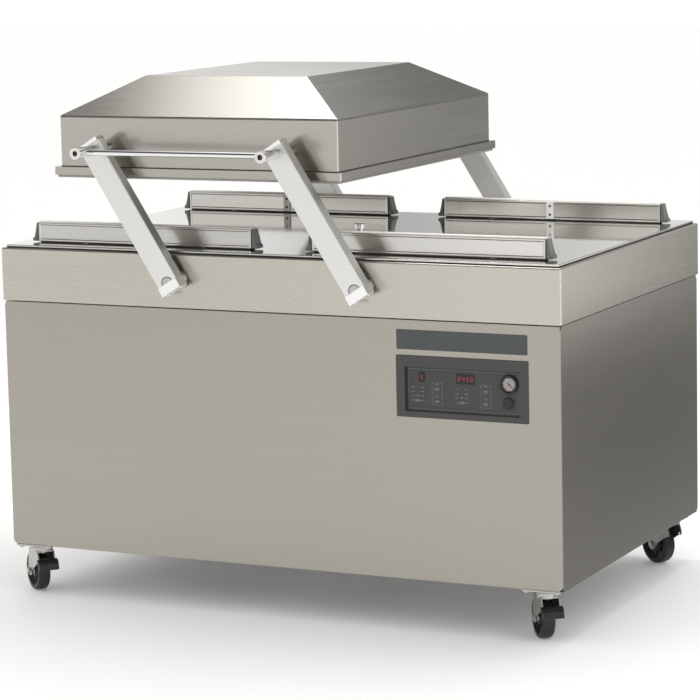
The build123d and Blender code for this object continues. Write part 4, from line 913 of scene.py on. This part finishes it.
def area_light(name, place, target, size, power):
    data = bpy.data.lights.new(name, "AREA")
    data.shape = "RECTANGLE"
    data.size, data.size_y = size
    data.energy = power
    lamp = bpy.data.objects.new(name, data)
    bpy.context.collection.objects.link(lamp)
    lamp.location = place
    lamp.rotation_euler = (Vector(target) - Vector(place)).to_track_quat("-Z", "Y").to_euler()


def studio_world():
    """White all round for the camera and for diffuse light; metal sees a dimmer sky above a white horizon."""
    world = bpy.data.worlds.new("studio")
    bpy.context.scene.world = world
    world.use_nodes = True
    tree = world.node_tree
    background = tree.nodes["Background"]
    place = tree.nodes.new("ShaderNodeTexCoord")
    split = tree.nodes.new("ShaderNodeSeparateXYZ")
    fall = tree.nodes.new("ShaderNodeMapRange")
    fall.interpolation_type = "SMOOTHSTEP"
    for name, number in SKY_FALL:
        fall.inputs[name].default_value = number
    ray = tree.nodes.new("ShaderNodeLightPath")
    mix = tree.nodes.new("ShaderNodeMix")
    mix.inputs[2].default_value = ROOM_STRENGTH
    tree.links.new(place.outputs["Generated"], split.inputs["Vector"])
    tree.links.new(split.outputs["Z"], fall.inputs["Value"])
    tree.links.new(ray.outputs["Is Glossy Ray"], mix.inputs[0])
    tree.links.new(fall.outputs["Result"], mix.inputs[3])
    tree.links.new(mix.outputs[0], background.inputs["Strength"])
    background.inputs["Color"].default_value = ROOM_COLOR


def flag(name, low, high, shades, along):
    """A studio card that only reflections see, shaded from one end to the other."""
    bm = bmesh.new()
    across, up = (i for i in range(3) if low[i] != high[i])
    corners = []
    for a, b in ((low, low), (high, low), (high, high), (low, high)):
        point = list(low)
        point[across] = a[across]
        point[up] = b[up]
        corners.append(bm.verts.new(point))
    bm.faces.new(corners)
    mesh = bpy.data.meshes.new(name)
    bm.to_mesh(mesh)
    bm.free()
    card = bpy.data.objects.new(name, mesh)
    bpy.context.collection.objects.link(card)
    card.visible_camera = False
    card.visible_diffuse = False
    card.visible_shadow = False
    peak = max(shades)
    finish = Finish(name, (0, 0, 0), 1.0, Specular_IOR_Level=0.0, Emission_Strength=peak)
    place = finish.node("ShaderNodeTexCoord")
    split = finish.node("ShaderNodeSeparateXYZ")
    finish.wire(place.outputs["Object"], split.inputs["Vector"])
    axis = "XYZ".index(along)
    value = finish.ramp(split.outputs[along], 0.0, 1.0, low[axis], high[axis])
    blend = finish.node("ShaderNodeValToRGB")
    stops = blend.color_ramp.elements
    for i, shade in enumerate(shades):
        stop = stops[i] if i < 2 else stops.new(1.0)
        stop.position = i / (len(shades) - 1)
        stop.color = (shade / peak,) * 3 + (1,)
    finish.wire(value, blend.inputs["Fac"])
    finish.wire(blend.outputs["Color"], finish.shader.inputs["Emission Color"])
    mesh.materials.append(finish.material)


def photo_camera():
    """A long lens in front of the machine, well to its right and a little above the lid."""
    level = cos(CAMERA_PITCH)
    forward = Vector((-sin(CAMERA_YAW) * level, cos(CAMERA_YAW) * level, -sin(CAMERA_PITCH)))
    right = Vector((cos(CAMERA_YAW), sin(CAMERA_YAW), 0))
    up = right.cross(forward)
    camera_x = cos(CAMERA_ROLL) * right + sin(CAMERA_ROLL) * up
    camera_y = cos(CAMERA_ROLL) * up - sin(CAMERA_ROLL) * right
    turn = Matrix((camera_x, camera_y, -forward)).transposed()
    data = bpy.data.cameras.new("camera")
    data.sensor_width = 36.0
    data.lens = CAMERA_LENS
    data.shift_y = CAMERA_SHIFT
    data.clip_end = 100
    camera = bpy.data.objects.new("camera", data)
    bpy.context.collection.objects.link(camera)
    camera.matrix_world = Matrix.Translation(CAMERA_PLACE) @ turn.to_4x4()
    bpy.context.scene.camera = camera


stage_floor()
studio_world()
area_light("overhead", (0.25, 0.45, 2.6), (0.25, 0.45, 0), (1.7, 1.5), 24)
for card in (
    # name, lowest and highest corner, shades, axis that the shades run along. In turn, the cards are
    # mirrored in the side panel, the band's side, the lid's side, the lid's right slope, the deck, the lid's
    # front slope, the seal bars' faces, the foot of the side panel, the eaves and the rod, and the corners.
    ("card_side", (1.3, 0.3, 0), (1.3, 4.0, 0.52), (0.22, 0.19, 0.15), "Z"),
    ("card_side_band", (1.3, 0.3, 0.52), (1.3, 4.0, 0.78), (1.15, 0.80, 0.30, 0.2, 0.2), "Y"),
    ("card_side_lid", (1.3, 0.3, 0.78), (1.3, 4.0, 1.7), (0.80, 0.70, 0.48, 0.25, 0.25), "Y"),
    ("card_back", (-0.9, 2.5, 1.65), (2.2, 2.5, 3.4), (0.22, 0.22, 0.5, 0.7), "Z"),
    ("card_deck", (-3.0, 2.45, 0.93), (0.5, 2.45, 1.6), (1.0, 1.0, 1.0, 0.8, 0.5, 0.62, 0.82, 0.85), "X"),
    ("card_roof", (-1.66, -0.3, 2.7), (0.34, 1.2, 2.7), (0.25, 0.4, 1.5, 2.2, 2.2, 2.2, 1.5, 1.0, 0.6), "X"),
    ("card_bars", (-4.2, -5.0, 0.1), (-0.6, -5.0, 0.55), (0.9, 0.8, 0.74, 0.72, 0.95, 1.3, 1.3), "X"),
    ("card_floor", (0.8, -0.45, 0.004), (3.0, 4.0, 0.004), (0.34, 0.30, 0.40), "Y"),
    ("card_front", (-4.0, -3.0, 2.0), (0.5, -3.0, 6.0), (0.03, 0.03), "X"),
    ("card_corner", (4.5, -3.6, 0.05), (4.5, -1.4, 1.6), (2.4, 2.4), "Z"),
):
    flag(*card)
photo_camera()
bpy.context.scene.view_settings.view_transform = "Standard"
